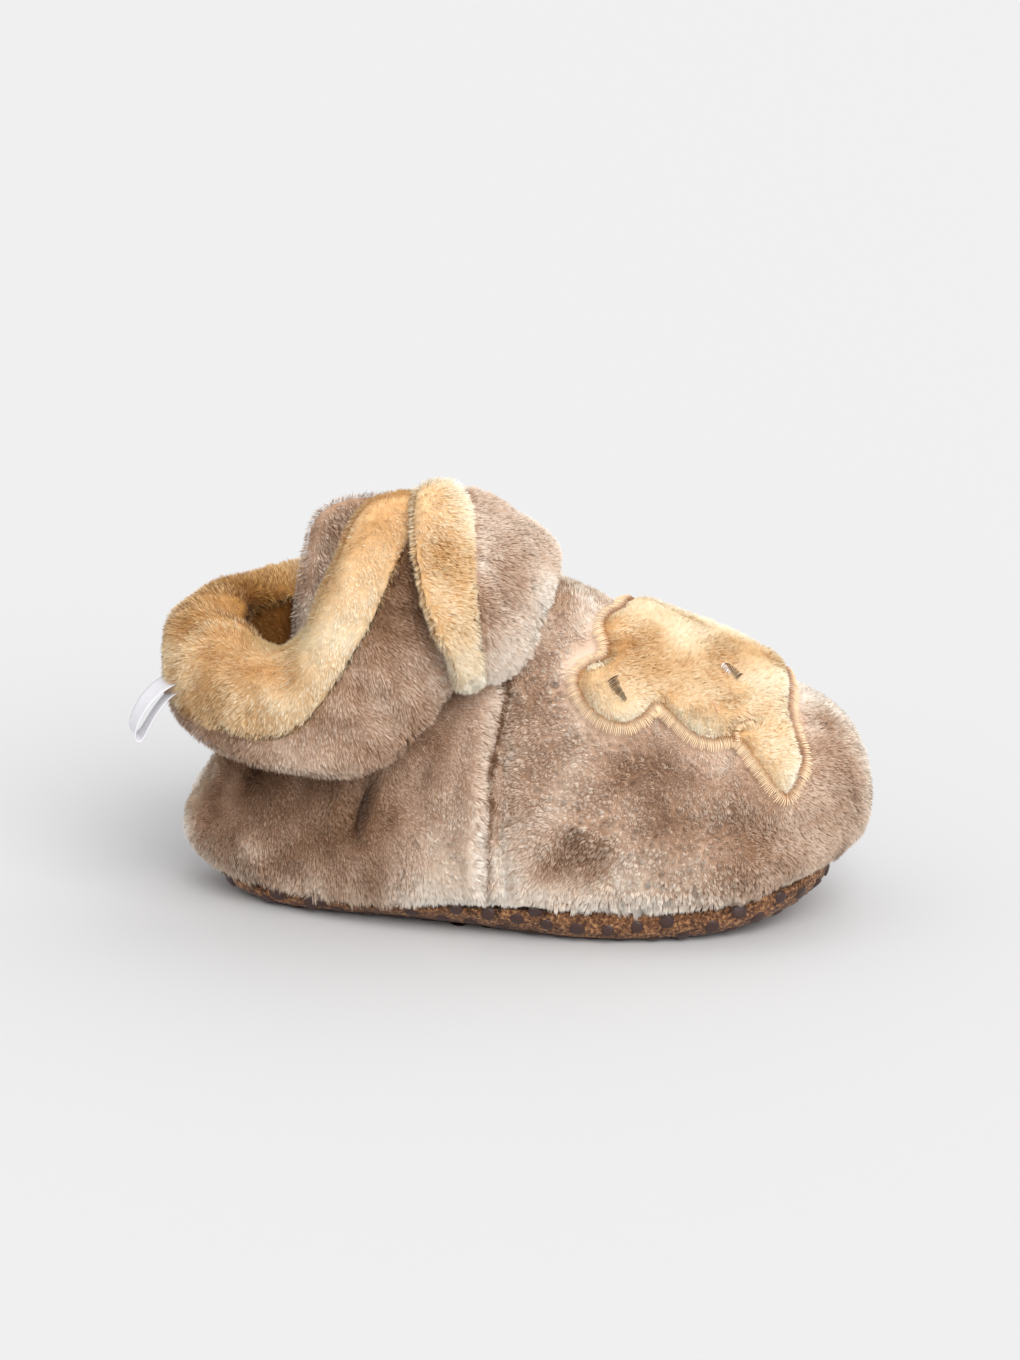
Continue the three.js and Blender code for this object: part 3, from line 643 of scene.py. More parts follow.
def smooth_line(table, closed, spacing):
    """Points spaced evenly along a smooth curve through (length, across) places, dropped on the shoe."""
    flat = np.array([place(length, across, 0)[:2] for length, across in table])
    count = len(flat)
    ahead = np.roll(flat, -1, axis=0) if closed else np.vstack([flat[1:], flat[-1:]])
    behind = np.roll(flat, 1, axis=0) if closed else np.vstack([flat[:1], flat[:-1]])
    slope = (ahead - behind) / 2
    curve = []
    for i in range(count if closed else count - 1):
        t = np.linspace(0, 1, 24, endpoint=False)[:, None]
        a, b, m, n = flat[i], flat[(i + 1) % count], slope[i], slope[(i + 1) % count]
        from_a = (2 * t**3 - 3 * t**2 + 1) * a + (t**3 - 2 * t**2 + t) * m
        curve.append(from_a + (3 * t**2 - 2 * t**3) * b + (t**3 - t**2) * n)
    curve = np.vstack(curve + ([flat[:1]] if closed else [flat[-1:]]))
    landed = [solids["upper"].ray_cast(Vector((x, y, COLLAR)), Vector((0, 0, -1)))[:2] for x, y in curve]
    points = np.array([tuple(hit) for hit, normal in landed])
    normals = np.array([tuple(normal) for hit, normal in landed])
    run = np.r_[0, np.cumsum(np.linalg.norm(np.diff(points, axis=0), axis=1))]
    even = np.linspace(0, run[-1], max(2, int(run[-1] / spacing)), endpoint=not closed)
    return (np.stack([np.interp(even, run, points[:, k]) for k in range(3)], axis=1),
            unit(np.stack([np.interp(even, run, normals[:, k]) for k in range(3)], axis=1)))


def beside_line(points, line):
    """How far each point is from a drawn line in millimetres, and the way from the line to it."""
    away = points - line[nearest(line, points)]
    apart = np.linalg.norm(away, axis=1)
    return apart / MM, away / np.maximum(apart, 1e-9)[:, None]


edge_line, edge_normals = smooth_line(PATCH_EDGE, True, 0.3 * MM)
ear_line, ear_normals = smooth_line(EAR_LINE, False, 0.27 * MM)
print(len(edge_line), "places along the patch's edge")

# %% [markdown]
# The nap of the quarter is brushed forward to the seam, and that of the vamp lies back to it, so that
# both hang over the groove. Round the toe it falls away from the patch. Along the sole's edge it hangs
# down in a jagged fringe, which is deepest at the heel and under the ball.
#
# Pile shows light and dark zones where a hand has brushed it. A table of places and tones draws them, and it also
# paints light and shade into the colour: painted shade under the cuff and in the puckers, and painted light on the
# heel's back. The places were picked, and each tone was corrected by comparing how bright the photograph and the render
# are there.

# %% The foot's pile
def over_sole(points):
    """Height above the sole's own edge, in millimetres. The edge is lower round the heel."""
    share = np.clip((points[:, 0] - place(20, 0, 0)[0]) / (0.35 * FOOT), 0, 1)
    edge = 4.3 + 2.5 * share * share * (3 - 2 * share)
    toe = np.clip((points[:, 0] - place(73, 0, 0)[0]) / (0.22 * FOOT), 0, 1)
    return points[:, 2] / MM - edge - 5.8 * toe**2


def foot_nap(points, normals):
    share = (points[:, 0] - foot_low.x) / FOOT
    flow = np.zeros_like(points)
    past = past_seam(points)
    beside_seam = np.exp(-((past / 3) ** 2))
    flow[:, 0] = np.where(past < 0, 0.8 + 0.7 * beside_seam, -0.6 + 0.6 * beside_seam)
    flow[:, 0] += 1.1 * np.clip((share - 0.7) / 0.2, 0, 1)
    flow[:, 2] = -0.55 - 0.4 * beside_seam * (past > 0)
    hang = np.clip(1 - over_sole(points) / 5, 0, 1)[:, None]
    flow = flow * (1 - hang) + hang * np.array([0.1, 0, -2.2])
    apart, away = beside_line(points, edge_line)
    pushed = np.clip(1 - (apart - 1) / 6, 0, 1)[:, None]
    return flow * (1 - pushed) + away * pushed * 1.3


# Tones of the brushed nap mixed with painted light and shade: darker under the cuff and in the puckers, paler on the
# heel's back.
FOOT_TONES = (
    ((5, -34, 23), 0.62), ((8, -49, 16), 0.62), ((13, -51, 28), 0.18), ((13, -58, 17), 0.36), ((16, -63, 13), 0.52),
    ((20, -64, 28), 0.6), ((23, -65, 33), 0.36), ((26, -73, 25), -0.12), ((24, -73, 13), 0.5),
    ((34, -78, 30), 0.54), ((31, -81, 17), 0.55),
    ((38, -88, 18), 0.92), ((41, -84, 32), 0.64), ((43, -92, 14), 0.97), ((36, -71, 43), 0.32), ((44, -69, 48), 0.6),
    ((43, -82, 36), 0.64), ((47, -92, 24), 0.88), ((50, -64, 53), 0.58), ((52, -79, 41), 0.6), ((51, -91, 29), 0.5),
    ((57, -93, 27), 0.9), ((61, -86, 33), 0.76), ((68, -90, 25), 0.53), ((68, -93, 16), 0.96), ((75, -87, 19), 0.68),
    ((67, -79, 37), 0.32), ((76, -72, 37), 0.68), ((79, -80, 25), 0.5), ((62, -71, 45), 0.68), ((85, -72, 27), 0.42),
    ((89, -61, 32), 0.58), ((94, -50, 25), 0.56), ((92, -33, 43), 0.34), ((97, -32, 34), 0.48), ((98, 12, 39), 0.86),
    ((91, 0, 51), 0.98), ((93, -14, 48), 0.78), ((56, -20, 71), 0.8), ((55, -46, 63), 0.8),
    ((60, 90, 22), 0.65), ((35, 85, 20), 0.5), ((10, 30, 20), 0.35),
    ((85, 60, 30), 0.6), ((48, 92, 25), 0.72), ((72, 85, 15), 0.76), ((22, 70, 28), 0.3), ((2, 0, 22), 1.0),
)
# Painted shade in and below the dent on the vamp's outer side, and a painted highlight on the ridge at the heel.
FOOT_LIT_AND_SHADED_SPOTS = (
    ((59.3, -95.5, 21.5), 9, -0.5), ((54.5, -95, 18.5), 4.5, -0.3), ((64, -95, 12), 4, -0.2), ((11, -54, 14), 4, 0.2),
)
FOOT_TOUSLES = (
    ((25, -75, 25), 25, -0.25), ((44, -88, 20), 14, 0.2), ((55, -62, 55), 14, 0.55), ((58, -92, 27), 12, 0.55),
    ((74, -88, 17), 17, 0.65), ((66, -80, 36), 16, 0.3), ((52, -80, 40), 9, 0.35), ((93, -45, 30), 18, -0.3),
    ((62, 92, 22), 16, 0.3), ((74, 85, 18), 16, 0.4),
)


def foot_shade(points):
    fringe = np.clip(1 - over_sole(points) / 3.5, 0, 1)
    by_patch = np.clip(1 - beside_line(points, edge_line)[0] / 6, 0, 1)
    # The tones and spots carry painted light and shade as well as the nap.
    tone = tones(points, FOOT_TONES, 7, 0.5) + spots(points, FOOT_LIT_AND_SHADED_SPOTS)
    tone += 0.05 * waves(points, 17 * MM, 41) + 0.05 * waves(points, 6 * MM, 42)
    past = past_seam(points) + 0.6 * waves(points, 2.6 * MM, 48)
    low = np.clip(1.3 - points[:, 2] / (0.3 * COLLAR), 0, 1)
    # Painted light and shade at the side seam: a painted highlight on the quarter's raised edge, and a painted shadow
    # in the groove just past it, weaker low down.
    edge = 0.06 * np.exp(-(((past + 1.2) / 1.4) ** 2))
    shadow = (0.45 - 0.2 * low) * np.exp(-(((past - 0.9) / 0.9) ** 2))
    # Painted shade in the fold beside the seam.
    fold = 0.45 * np.exp(-(((off_fold(points) + 0.5 * waves(points, 2.6 * MM, 49)) / 0.8) ** 2))
    return tone + 0.07 * fringe + 0.12 * by_patch + edge - np.maximum(shadow, fold)


def foot_tousle(points):
    return 0.3 + 0.18 * waves(points, 14 * MM, 45) + spots(points, FOOT_TOUSLES)


def foot_stretch(points, normals):
    """Longer in the fringe over the sole, shorter in the seam and beside the patch."""
    share = (points[:, 0] - foot_low.x) / FOOT
    hang = np.interp(share, [0, 0.28, 0.36, 0.43, 0.52, 0.57, 0.61, 0.67, 0.73, 0.8, 1],
                     [2.4, 2.4, 1.7, 1.0, 0.8, 1.6, 2.5, 2.6, 1.8, 1.4, 1.4])
    fringe = np.clip(1 - over_sole(points) / 3.0, 0, 1)
    past = past_seam(points)
    seam = 1 + 0.3 * np.exp(-(((past + 1) / 1.2) ** 2)) - 0.3 * np.exp(-(((past - 1.2) / 1.2) ** 2))
    fold = 1 - 0.5 * np.exp(-((off_fold(points) / 0.8) ** 2))
    by_patch = np.clip(1 - (beside_line(points, edge_line)[0] - 1) / 3, 0, 1)
    ragged = 1 + 0.3 * fringe * waves(points, 3 * MM, 46)
    return (1 + fringe * (hang - 1)) * ragged * seam * fold * (1 - 0.55 * by_patch)


body_piece("foot_cloth", outer_cloth, taupe, replaces=("upper",), shade=foot_shade(outer_cloth["points"]))
covers = ("cuff", "cuff_trim", "front_flap", "flap_trim", "applique")
free = in_open_air(outer_cloth, covers, 3.2) * (beside_line(outer_cloth["points"], edge_line)[0] > 0.9)
vamp_side = past_seam(outer_cloth["points"]) > 0
for name, where, seed, tuft in (("vamp_pile", vamp_side, 11, 0.85), ("quarter_pile", ~vamp_side, 12, 0.6)):
    grow_pile(name, outer_cloth, taupe, 185000, 1.55, foot_nap, seed, weight=free * where + 1e-9,
              shade=foot_shade, tousle=foot_tousle, tuft=tuft, stretch=foot_stretch)


def lining_nap(points, normals):
    return np.broadcast_to(np.array([0.2, 0, -1.0]), points.shape)


# Painted shade inside the shaft: the lining is darkest below halfway up and a little paler towards the collar.
def lining_shade(points):
    return np.clip((points[:, 2] / COLLAR - 0.55) * 0.6, 0, 0.2) + 0.05 * waves(points, 9 * MM, 47)


body_piece("foot_lining", inner_cloth, tan, shade=lining_shade(inner_cloth["points"]))
up_the_shaft = np.clip((inner_cloth["points"][:, 2] / COLLAR - 0.25) * 8, 0, 1)
grow_pile("lining_pile", inner_cloth, tan, 26000, 1.6, lining_nap, 13, weight=up_the_shaft + 1e-9,
          shade=lining_shade)

# %% [markdown]
# ## The collar
# The cuff, its tan rim, the front flap with its tan edge and the tongue are all the same plush, and are dressed the
# same way. The rim is a full roll with one fold pushed into it at the back, and the cuff has a few slack wrinkles where
# the flap pulls on it. Each of them is a padded fold.

# %% Cuff, rim, flap and tongue
def cuff_nap(points, normals):
    return np.broadcast_to(np.array([0.5, 0, -0.8]), points.shape)


def rim_nap(points, normals):
    """Outward from the middle of the collar and down."""
    middle = place(27, 0, 60)
    flow = points - middle
    flow[:, 2] = -0.6 * np.linalg.norm(flow[:, :2], axis=1)
    return unit(flow)


def flap_nap(points, normals):
    return np.broadcast_to(np.array([0.5, 0.4, -0.8]), points.shape)


CUFF_CREASES = (
    ([(33, -103, 66), (37, -96, 58), (41, -78, 50)], 2.2, 1.0),
    ([(27, -104, 60), (33, -101, 52), (38, -86, 45)], 2.6, 0.8),
    ([(10, -85, 44), (20, -98, 46), (29, -104, 50)], 3.0, 0.6),
)
RIM_CREASES = (
    ([(15, -20, 63), (10, -14, 66), (5, -8, 63)], 2.6, 2.6),
    ([(17, -93, 63), (18, -101, 57)], 2.5, 1.0),
    ([(5, -60, 58), (3, -66, 52)], 2.6, 0.8),
)
FLAP_CREASES = (([(44, -70, 88), (47, -72, 80), (49, -68, 70)], 3.0, 0.7),)


# These tones paint the brushed nap together with light and shade: painted shade on the rim's inner side and on the
# tongue's face beside it, and a painted highlight over the flap's lower part.
CUFF_TONES = (
    ((34, -97, 77), 0.08), ((36, -92, 77), 0.36), ((35, -97, 66), 0.38), ((32, -101, 58), 0.46), ((24, -107, 51), 0.54),
    ((20, -99, 41), 0.78), ((27, -103, 44), 0.4), ((12, -85, 39), 0.46), ((31, -102, 52), 0.76), ((27, -106, 57), 0.44),
    ((5, -68, 42), 0.42), ((34, -98, 48), 0.34), ((40, -80, 55), 0.64), ((38, -88, 64), 0.74),
)
RIM_TONES = (
    ((30, -97, 86), 0.6), ((26, -107, 78), 0.82), ((21, -104, 68), 0.9), ((20, -106, 59), 0.7), ((8, -59, 63), 0.47),
    ((5, -71, 50), 0.48), ((13, -94, 49), 0.7), ((1, -55, 53), 0.62), ((4, -6, 66), 0.42), ((10, 23, 64), -0.06),
    ((14, 43, 65), 0.42), ((10, 42, 67), 0.15), ((34, -75, 95), 0.66), ((12, -60, 66), 0.95), ((9, -85, 56), 0.52),
    ((22, 60, 75), 0.92),
)
FLAP_TONES = (
    ((43, -40, 95), 0.58), ((50, -20, 88), 0.58), ((54, 0, 78), 0.57), ((52, -45, 73), 1.02), ((50, -66, 66), 0.88),
    ((48, -60, 80), 0.25), ((47, -78, 72), 0.42), ((46, -66, 87), 0.8), ((53, 20, 70), 0.95), ((48, -78, 64), 0.8),
)
EDGE_TONES = (
    ((37, -83, 94), 0.66), ((39, -64, 97), 0.9), ((42, -87, 86), 0.46), ((43, -96, 73), 0.6), ((45, -90, 64), 0.98),
    ((39, -107, 74), 0.54),
)
TONGUE_TONES = (
    ((16, 31, 57), 0.85), ((16, 32, 61), 0.84), ((17, 35, 70), 0.76), ((18, 35, 67), 0.5), ((19, 38, 77), 0.62),
    ((20, 42, 84), 0.78), ((21, 45, 86), 0.6), ((25, 40, 78), 0.1), ((24, 42, 68), 0.15), ((35, 45, 80), 0.55),
)


def collar_tousle(points):
    return 0.28 + 0.2 * waves(points, 14 * MM, 66)


def toned(table, rest, seed):
    """A shade rule from a table of tones, with slow unevenness."""
    def shade(points):
        uneven = 0.06 * waves(points, 13 * MM, seed) + 0.05 * waves(points, 5 * MM, seed + 1)
        return tones(points, table, 6, rest) + uneven
    return shade


COLLAR_PIECES = (
    ("cuff", taupe, "taupe_plush", 80000, 21, cuff_nap, toned(CUFF_TONES, 0.48, 51), CUFF_CREASES, 0.7),
    ("cuff_trim", tan, "tan_plush", 110000, 22, rim_nap, toned(RIM_TONES, 0.5, 53), RIM_CREASES, 0.5),
    ("front_flap", taupe, "taupe_plush", 65000, 23, flap_nap, toned(FLAP_TONES, 0.7, 55), FLAP_CREASES, 0.6),
    ("flap_trim", tan, "tan_plush", 24000, 24, flap_nap, toned(EDGE_TONES, 0.7, 57), (), 0.1),
    ("tongue", taupe, "taupe_plush", 40000, 25, cuff_nap, toned(TONGUE_TONES, 0.45, 59), (), 0.6),
)
SWELLS = {
    "flap_trim": (((38, -78, 98), 13, 1.1), ((40, -62, 97), 10, 0.6)),
    "front_flap": (((48, -30, 92), 16, 0.8), ((45, -48, 94), 10, 0.4)),
}
for node, look, slot, count, seed, nap, shade, folds, inset in COLLAR_PIECES:
    cloth = soft_copy(node, 1.0 * MM, 5)
    others = tuple(n for n in solids if n != node)
    open_now = in_open_air(cloth, others, 1.6)
    shape = (waves(cloth["points"], 14 * MM, seed) * 0.25 * MM - inset * MM) * open_now
    shape = shape + spots(cloth["points"], SWELLS.get(node, ())) * MM
    if folds:
        shape = shape + creases(cloth["points"], folds)
    cloth = moved(cloth, shape)
    body = body_piece(node + "_cloth", cloth, look, replaces=(node,), shade=shade(cloth["points"]))
    weight = in_open_air(cloth, others, 0.25) + 0.01
    grow_pile(node + "_pile", cloth, look, count, 1.55, nap, seed, weight=weight, shade=shade,
              tousle=collar_tousle)

# %% [markdown]
# ## The patch
# An animal's face in tan plush, sewn down with a satin stitch: close threads side by side across the edge, tan thread
# with painted shade where they dip into the tan and a painted highlight where they turn outwards. The stitching presses
# the pile flat, so nothing grows along it. The face itself is a few small marks embroidered the same way. The patch's
# cloth is cut from a copy of the upper's own surface inside the outline, so that it follows every hollow below it, and
# it is raised in a low pillow between its stitches.

# %% The patch's stitches
THREAD = 0.26 * MM
STITCH_ARCH = 0.5


def stitches(starts, ends, normals, arch, thick, seed, sides=4, steps=4):
    """Threads laid from starts to ends, arching up from the cloth: points, triangles and pile numbers."""
    draw = np.random.default_rng(seed)
    count = len(starts)
    t = np.linspace(0, 1, steps + 1)
    along = unit(ends - starts)
    across = unit(np.cross(along, normals))
    rise = (np.sin(t * math.pi) ** 0.7)[None, :, None] * arch[:, None, None] * normals[:, None, :]
    centre = starts[:, None, :] * (1 - t)[None, :, None] + ends[:, None, :] * t[None, :, None] + rise
    girth = thick / 2 * (0.55 + 0.45 * np.sin(t * math.pi))[None, :, None] * draw.uniform(0.85, 1.15, (count, 1, 1))
    rings = []
    for k in range(sides):
        angle = 2 * math.pi * k / sides + math.pi / 4
        spoke = math.cos(angle) * across + 0.75 * math.sin(angle) * normals
        rings.append(centre + girth * spoke[:, None, :])
    points = np.stack(rings, axis=2).reshape(-1, 3)
    faces = []
    for i in range(steps):
        for k in range(sides):
            a, b = i * sides + k, i * sides + (k + 1) % sides
            faces += [(a, b, b + sides), (a, b + sides, a + sides)]
    faces = np.array(faces)[None] + (np.arange(count) * (steps + 1) * sides)[:, None, None]
    pile = np.empty((count, steps + 1, sides, 3))
    pile[..., 0] = t[None, :, None]
    pile[..., 1] = draw.random(count)[:, None, None]
    pile[..., 2] = 0.5
    return points, faces.reshape(-1, 3), pile.reshape(-1, 3)


def joined(parts):
    points, faces, pile, shift = [], [], [], 0
    for p, f, c in parts:
        points.append(p)
        faces.append(f + shift)
        pile.append(c)
        shift += len(p)
    return np.vstack(points), np.vstack(faces), np.vstack(pile)


def thread_look(name, inner, outer, shine=0.6):
    """Embroidery thread that changes colour from one end to the other."""
    shader = Shader(name, Roughness=0.75 - 0.6 * shine)
    shader.surface.inputs["Specular IOR Level"].default_value = shine
    along, own = shader.stored("pile", 0), shader.stored("pile", 1)
    light = 0.82 + own * 0.3
    grey = shader.node("ShaderNodeCombineColor", {}, {0: light, 1: light, 2: light})
    colour = shader.ramp(along, [(0.1, inner), (0.6, outer), (1.0, outer)])
    shader.feed("Base Color", shader.mix(1.0, colour, grey, "MULTIPLY"))
    return shader.material


def satin_edge(line, normals, reach, arch, lift, seed, closed, shift=0.0, drop=0.2):
    """Close threads across a line, in millimetres. The first end is on the line's left, and the other one
    lies lower by the drop."""
    draw = np.random.default_rng(seed)
    ahead = np.roll(line, -1, axis=0) - np.roll(line, 1, axis=0)
    if not closed:
        ahead[0], ahead[-1] = line[1] - line[0], line[-1] - line[-2]
    left = unit(np.cross(normals, unit(ahead)))
    slant = unit(ahead) * 0.12 * MM
    count = (len(line), 1)
    starts = line + left * (reach - shift) * MM * draw.uniform(0.78, 1.14, count) + normals * lift * MM - slant
    ends = line - left * (reach + shift) * MM * draw.uniform(0.8, 1.16, count) + normals * (lift - drop) * MM + slant
    return stitches(starts, ends, normals, arch * MM * draw.uniform(0.5, 1.3, len(line)), THREAD, seed)


turning = np.cross(edge_line[:, :2], np.roll(edge_line, -1, axis=0)[:, :2]).sum()
inward = 1 if turning > 0 else -1
edge = satin_edge(edge_line, edge_normals, 1.15 * inward, STITCH_ARCH, 1.25, 71, True, 0.25 * inward, 0.6)
ear = satin_edge(ear_line, ear_normals, 0.8, STITCH_ARCH, 1.5, 72, False)
# Tan thread with painted shade at its inner end, where it dips into the pile, and a painted highlight at its outer end,
# where it turns out.
thread = thread_look("edge_thread", linear(158, 104, 60), linear(250, 220, 180))
points, faces, pile = joined([edge, ear])
mesh_piece("patch_stitches", points, faces, thread, pile=pile)

# %% [markdown]
# The marks of the face: two dark slashes for eyes, one with a pale glint, and a faint pink nose. They are
# lifted to the pile's tips, and the pile parts only round the eyes, so the nose sinks into it.

# %% The face's embroidered marks
MARKS = (
    ([(62.4, -52.4), (63.2, -55.2), (64.4, -58.0)], (1.1, 0.4), "dark"),
    ([(77.6, -24.4), (78.6, -25.4), (79.7, -28.2)], (0.25, 0.85), "dark"),
    ([(77.2, -26.0), (78.2, -28.4)], (0.45, 0.3), "glint"),
    ([(76.6, -46.0), (77.3, -49.0)], (0.4, 0.3), "nose"),
)
mark_looks = {
    "dark": thread_look("mark_thread", linear(16, 6, 14), linear(34, 16, 26), 0.05),
    "glint": thread_look("glint_thread", linear(222, 218, 236), linear(236, 232, 246), 0.5),
    "nose": thread_look("nose_thread", linear(240, 190, 160), linear(246, 200, 172), 0.3),
}
mark_lifts = {"dark": 2.75, "glint": 2.75, "nose": 2.3}
eye_lines = []
for k, (path, reach, kind) in enumerate(MARKS):
    line, normals = smooth_line(path, False, 0.3 * MM)
    if kind != "nose":
        eye_lines.append(line)
    wide = np.linspace(*reach, len(line))[:, None]
    points, faces, pile = satin_edge(line, normals, wide, STITCH_ARCH, mark_lifts[kind], 80 + k, False)
    mesh_piece(f"face_mark_{k + 1}", points, faces, mark_looks[kind], pile=pile)
eyes = np.vstack(eye_lines)

# %% [markdown]
# The patch's own pile is brushed in small whorls. It stays clear of the stitches and the eyes, and it is fullest in the
# middle of each form.

# %% The patch's pile
# The patch's tones paint light and shade into its cream: painted shade in its valleys and painted light on its lobes.
PATCH_TONES = (
    ((64, -42, 62), 0.7), ((68, -40, 60), 0.24), ((71, -48, 56), 0.44), ((77, -44, 53), 0.66), ((82, -40, 50), 0.48),
    ((86, -30, 50), 0.7), ((60, -58, 54), 0.76), ((64, -61, 50), 0.95), ((70, -50, 54), 0.72), ((74, -56, 50), 1.0),
    ((66, -20, 68), 0.6), ((74, -10, 64), 0.66), ((72, -28, 62), 0.8), ((80, -10, 58), 0.42), ((81, -33, 52), 1.04),
    ((86, -54, 42), 0.88), ((84, -50, 44), 0.6), ((59, -50, 58), 0.76), ((87, -20, 50), 0.86), ((75, -36, 58), 0.42),
)


def patch_shade(points):
    return tones(points, PATCH_TONES, 5, 0.8) + 0.05 * waves(points, 6 * MM, 61)


def patch_nap(points, normals):
    forward = 0.5 + 0.5 * waves(points, 13 * MM, 63)
    inwards = 0.35 + 0.3 * waves(points, 13 * MM, 64)
    return np.stack([forward, inwards, np.full(len(points), -0.6)], axis=1)


def patch_tousle(points):
    return 0.1 + 0.1 * waves(points, 9 * MM, 65)


def patch_stretch(points, normals):
    full = np.clip((beside_line(points, edge_line)[0] - 1) / 2.5, 0, 1)
    return (0.65 + 0.45 * full) * np.clip(beside_line(points, eyes)[0] / 4 + 0.1, 0.4, 1)


def inside_outline(points, outline):
    """Which points lie inside a closed outline, both seen from above."""
    inside = np.zeros(len(points), dtype=bool)
    for a, b in zip(outline, np.roll(outline, -1, axis=0)):
        if a[1] != b[1]:
            level = (a[1] > points[:, 1]) != (b[1] > points[:, 1])
            inside ^= level & (points[:, 0] < a[0] + (points[:, 1] - a[1]) * (b[0] - a[0]) / (b[1] - a[1]))
    return inside


patch = soft_copy("upper", 0.8 * MM, 6)
on_top = ((patch["points"] - spine(patch["points"])) * patch["normals"]).sum(axis=1) > 0
high_up = patch["points"][:, 2] > place(0, 0, 30)[2]
patch = part_of(patch, on_top & high_up & inside_outline(patch["points"], edge_line))
rim_near = beside_line(patch["points"], edge_line)[0]
ear_near = beside_line(patch["points"], ear_line)[0]
sewn = np.minimum(rim_near, ear_near + 0.5)
height = -0.5 + 2.4 * (1 - np.exp(-((sewn / 1.7) ** 2)))
height += 0.25 * waves(patch["points"], 8 * MM, 62) * np.clip((sewn - 1.5) / 3, 0, 1)
patch = moved(patch, height * MM)
body_piece("patch_cloth", patch, tan, replaces=("applique",), shade=patch_shade(patch["points"]))
clear = np.minimum(rim_near, ear_near) > 0.85
clear &= beside_line(patch["points"], eyes)[0] > 1.0
weight = clear + 1e-9
grow_pile("patch_pile", patch, tan, 56000, 1.5, patch_nap, 26, weight=weight,
          shade=patch_shade, tousle=patch_tousle, wander=0.45, stretch=patch_stretch)

# %% [markdown]
# ## The sole
# Brushed suede-like cloth, turned up round the edge, printed with rows of small raised rubber dots that
# keep the shoe from slipping. The print runs in straight staggered rows and takes no notice of the edge.

# %% The sole's cloth and its dots
suede = Shader("sole_suede", Roughness=0.95, Sheen_Weight=0.12, Sheen_Roughness=0.4)
grain = suede.noise(1500, 3, 0.7)
blotch = suede.noise(260, 3, 0.6)
fleck = (grain * 0.75 + blotch * 0.25).clamp()
suede.feed("Base Color", suede.ramp(fleck, [
    (0.38, linear(44, 23, 11)), (0.46, linear(98, 61, 36)), (0.54, linear(136, 92, 58)), (0.62, linear(188, 140, 96))]))
suede.bump(fleck, 0.8 * MM, 1.0)
sole = soft_copy("outsole", 1.0 * MM, 3)
room_for_dots = np.where(sole["normals"][:, 2] < 0.5, -0.3, 0.0) * MM
sole = moved(sole, room_for_dots + waves(sole["points"], 2.2 * MM, 91) * 0.08 * MM)
mesh_piece("sole_cloth", sole["points"], sole["triangles"], suede.material, ("outsole",))

rubber = Shader("grip_rubber", Roughness=0.42)
rubber.surface.inputs["Base Color"].default_value = (*linear(62, 38, 32), 1)
rubber.bump(rubber.noise(500, 2), 0.2 * MM, 0.4)
sole_tree = BVHTree.FromPolygons(sole["points"].tolist(), sole["triangles"].tolist())


def print_on_sole(x, y):
    """Where a printed dot lands: straight up on the underside, or wrapped up the turned edge past it."""
    hit, normal, _, _ = sole_tree.ray_cast(Vector((x, y, -0.01)), Vector((0, 0, 1)))
    if hit is not None and normal.z < -0.8:
        return hit, normal
    k = int(np.linalg.norm(under - np.array([x, y]), axis=1).argmin())
    past = float(np.linalg.norm(under[k] - np.array([x, y])))
    if past > 8.5 * MM:
        return None, None
    here = Vector(under_points[k])
    way = Vector((x - here.x, y - here.y, 0)).normalized()
    for _ in range(int(past / (0.3 * MM))):
        here, normal, _, _ = sole_tree.find_nearest(here + way * 0.3 * MM)
        way = (way - normal * way.dot(normal)).normalized()
    return here, normal


DOT_STEP, DOT_RADIUS, DOT_RISE = 5.4 * MM, 1.38 * MM, 0.34 * MM
under_points = sole["points"][sole["normals"][:, 2] < -0.8]
under = under_points[:, :2]
dots = []
for j in range(-9, 10):
    for i in range(-15, 16):
        x, y = (i + 0.5 * (j % 2)) * DOT_STEP + 0.6 * MM, j * DOT_STEP * 0.866 + 0.9 * MM
        hit, normal = print_on_sole(x, y)
        if hit is None or solids["upper"].ray_cast(hit + normal * 0.1 * MM, normal, 3 * MM)[0]:
            continue
        if normal.z < 0.45:
            dots.append((np.array(hit), np.array(normal)))


def dome(centre, normal, radius, rise, sides=12):
    """A low round dome on a surface: points and triangles."""
    across = unit(np.cross(normal, [0.3, 0.2, 1.0]))
    along = np.cross(normal, across)
    points = [centre + normal * rise]
    for share, height in ((0.55, 0.86), (0.85, 0.5), (1.0, -0.3)):
        for k in range(sides):
            angle = 2 * math.pi * k / sides
            spoke = across * math.cos(angle) + along * math.sin(angle)
            points.append(centre + spoke * radius * share + normal * rise * height)
    faces = [(0, 1 + k, 1 + (k + 1) % sides) for k in range(sides)]
    for ring in range(2):
        base = 1 + ring * sides
        for k in range(sides):
            a, b = base + k, base + (k + 1) % sides
            faces += [(a, a + sides, b + sides), (a, b + sides, b)]
    points = np.array(points)
    points[:, 2] = np.maximum(points[:, 2], 0.01 * MM)
    return points, np.array(faces), np.full((len(points), 3), 0.5)


draw = np.random.default_rng(92)
domes = [dome(c, n, DOT_RADIUS * draw.uniform(0.9, 1.1), DOT_RISE if n[2] > -0.9 else 0.28 * MM) for c, n in dots]
points, faces, pile = joined(domes)
mesh_piece("grip_dots", points, faces, rubber.material)
print(len(dots), "grip dots")

# %% [markdown]
# ## Insole and ribbon
# The insole is a thin pad of napped cloth that is seen only from above. The ribbon at the back of the
# collar is a folded loop of sheer satin, sewn into the seam under the rim. Its two strands bow apart.

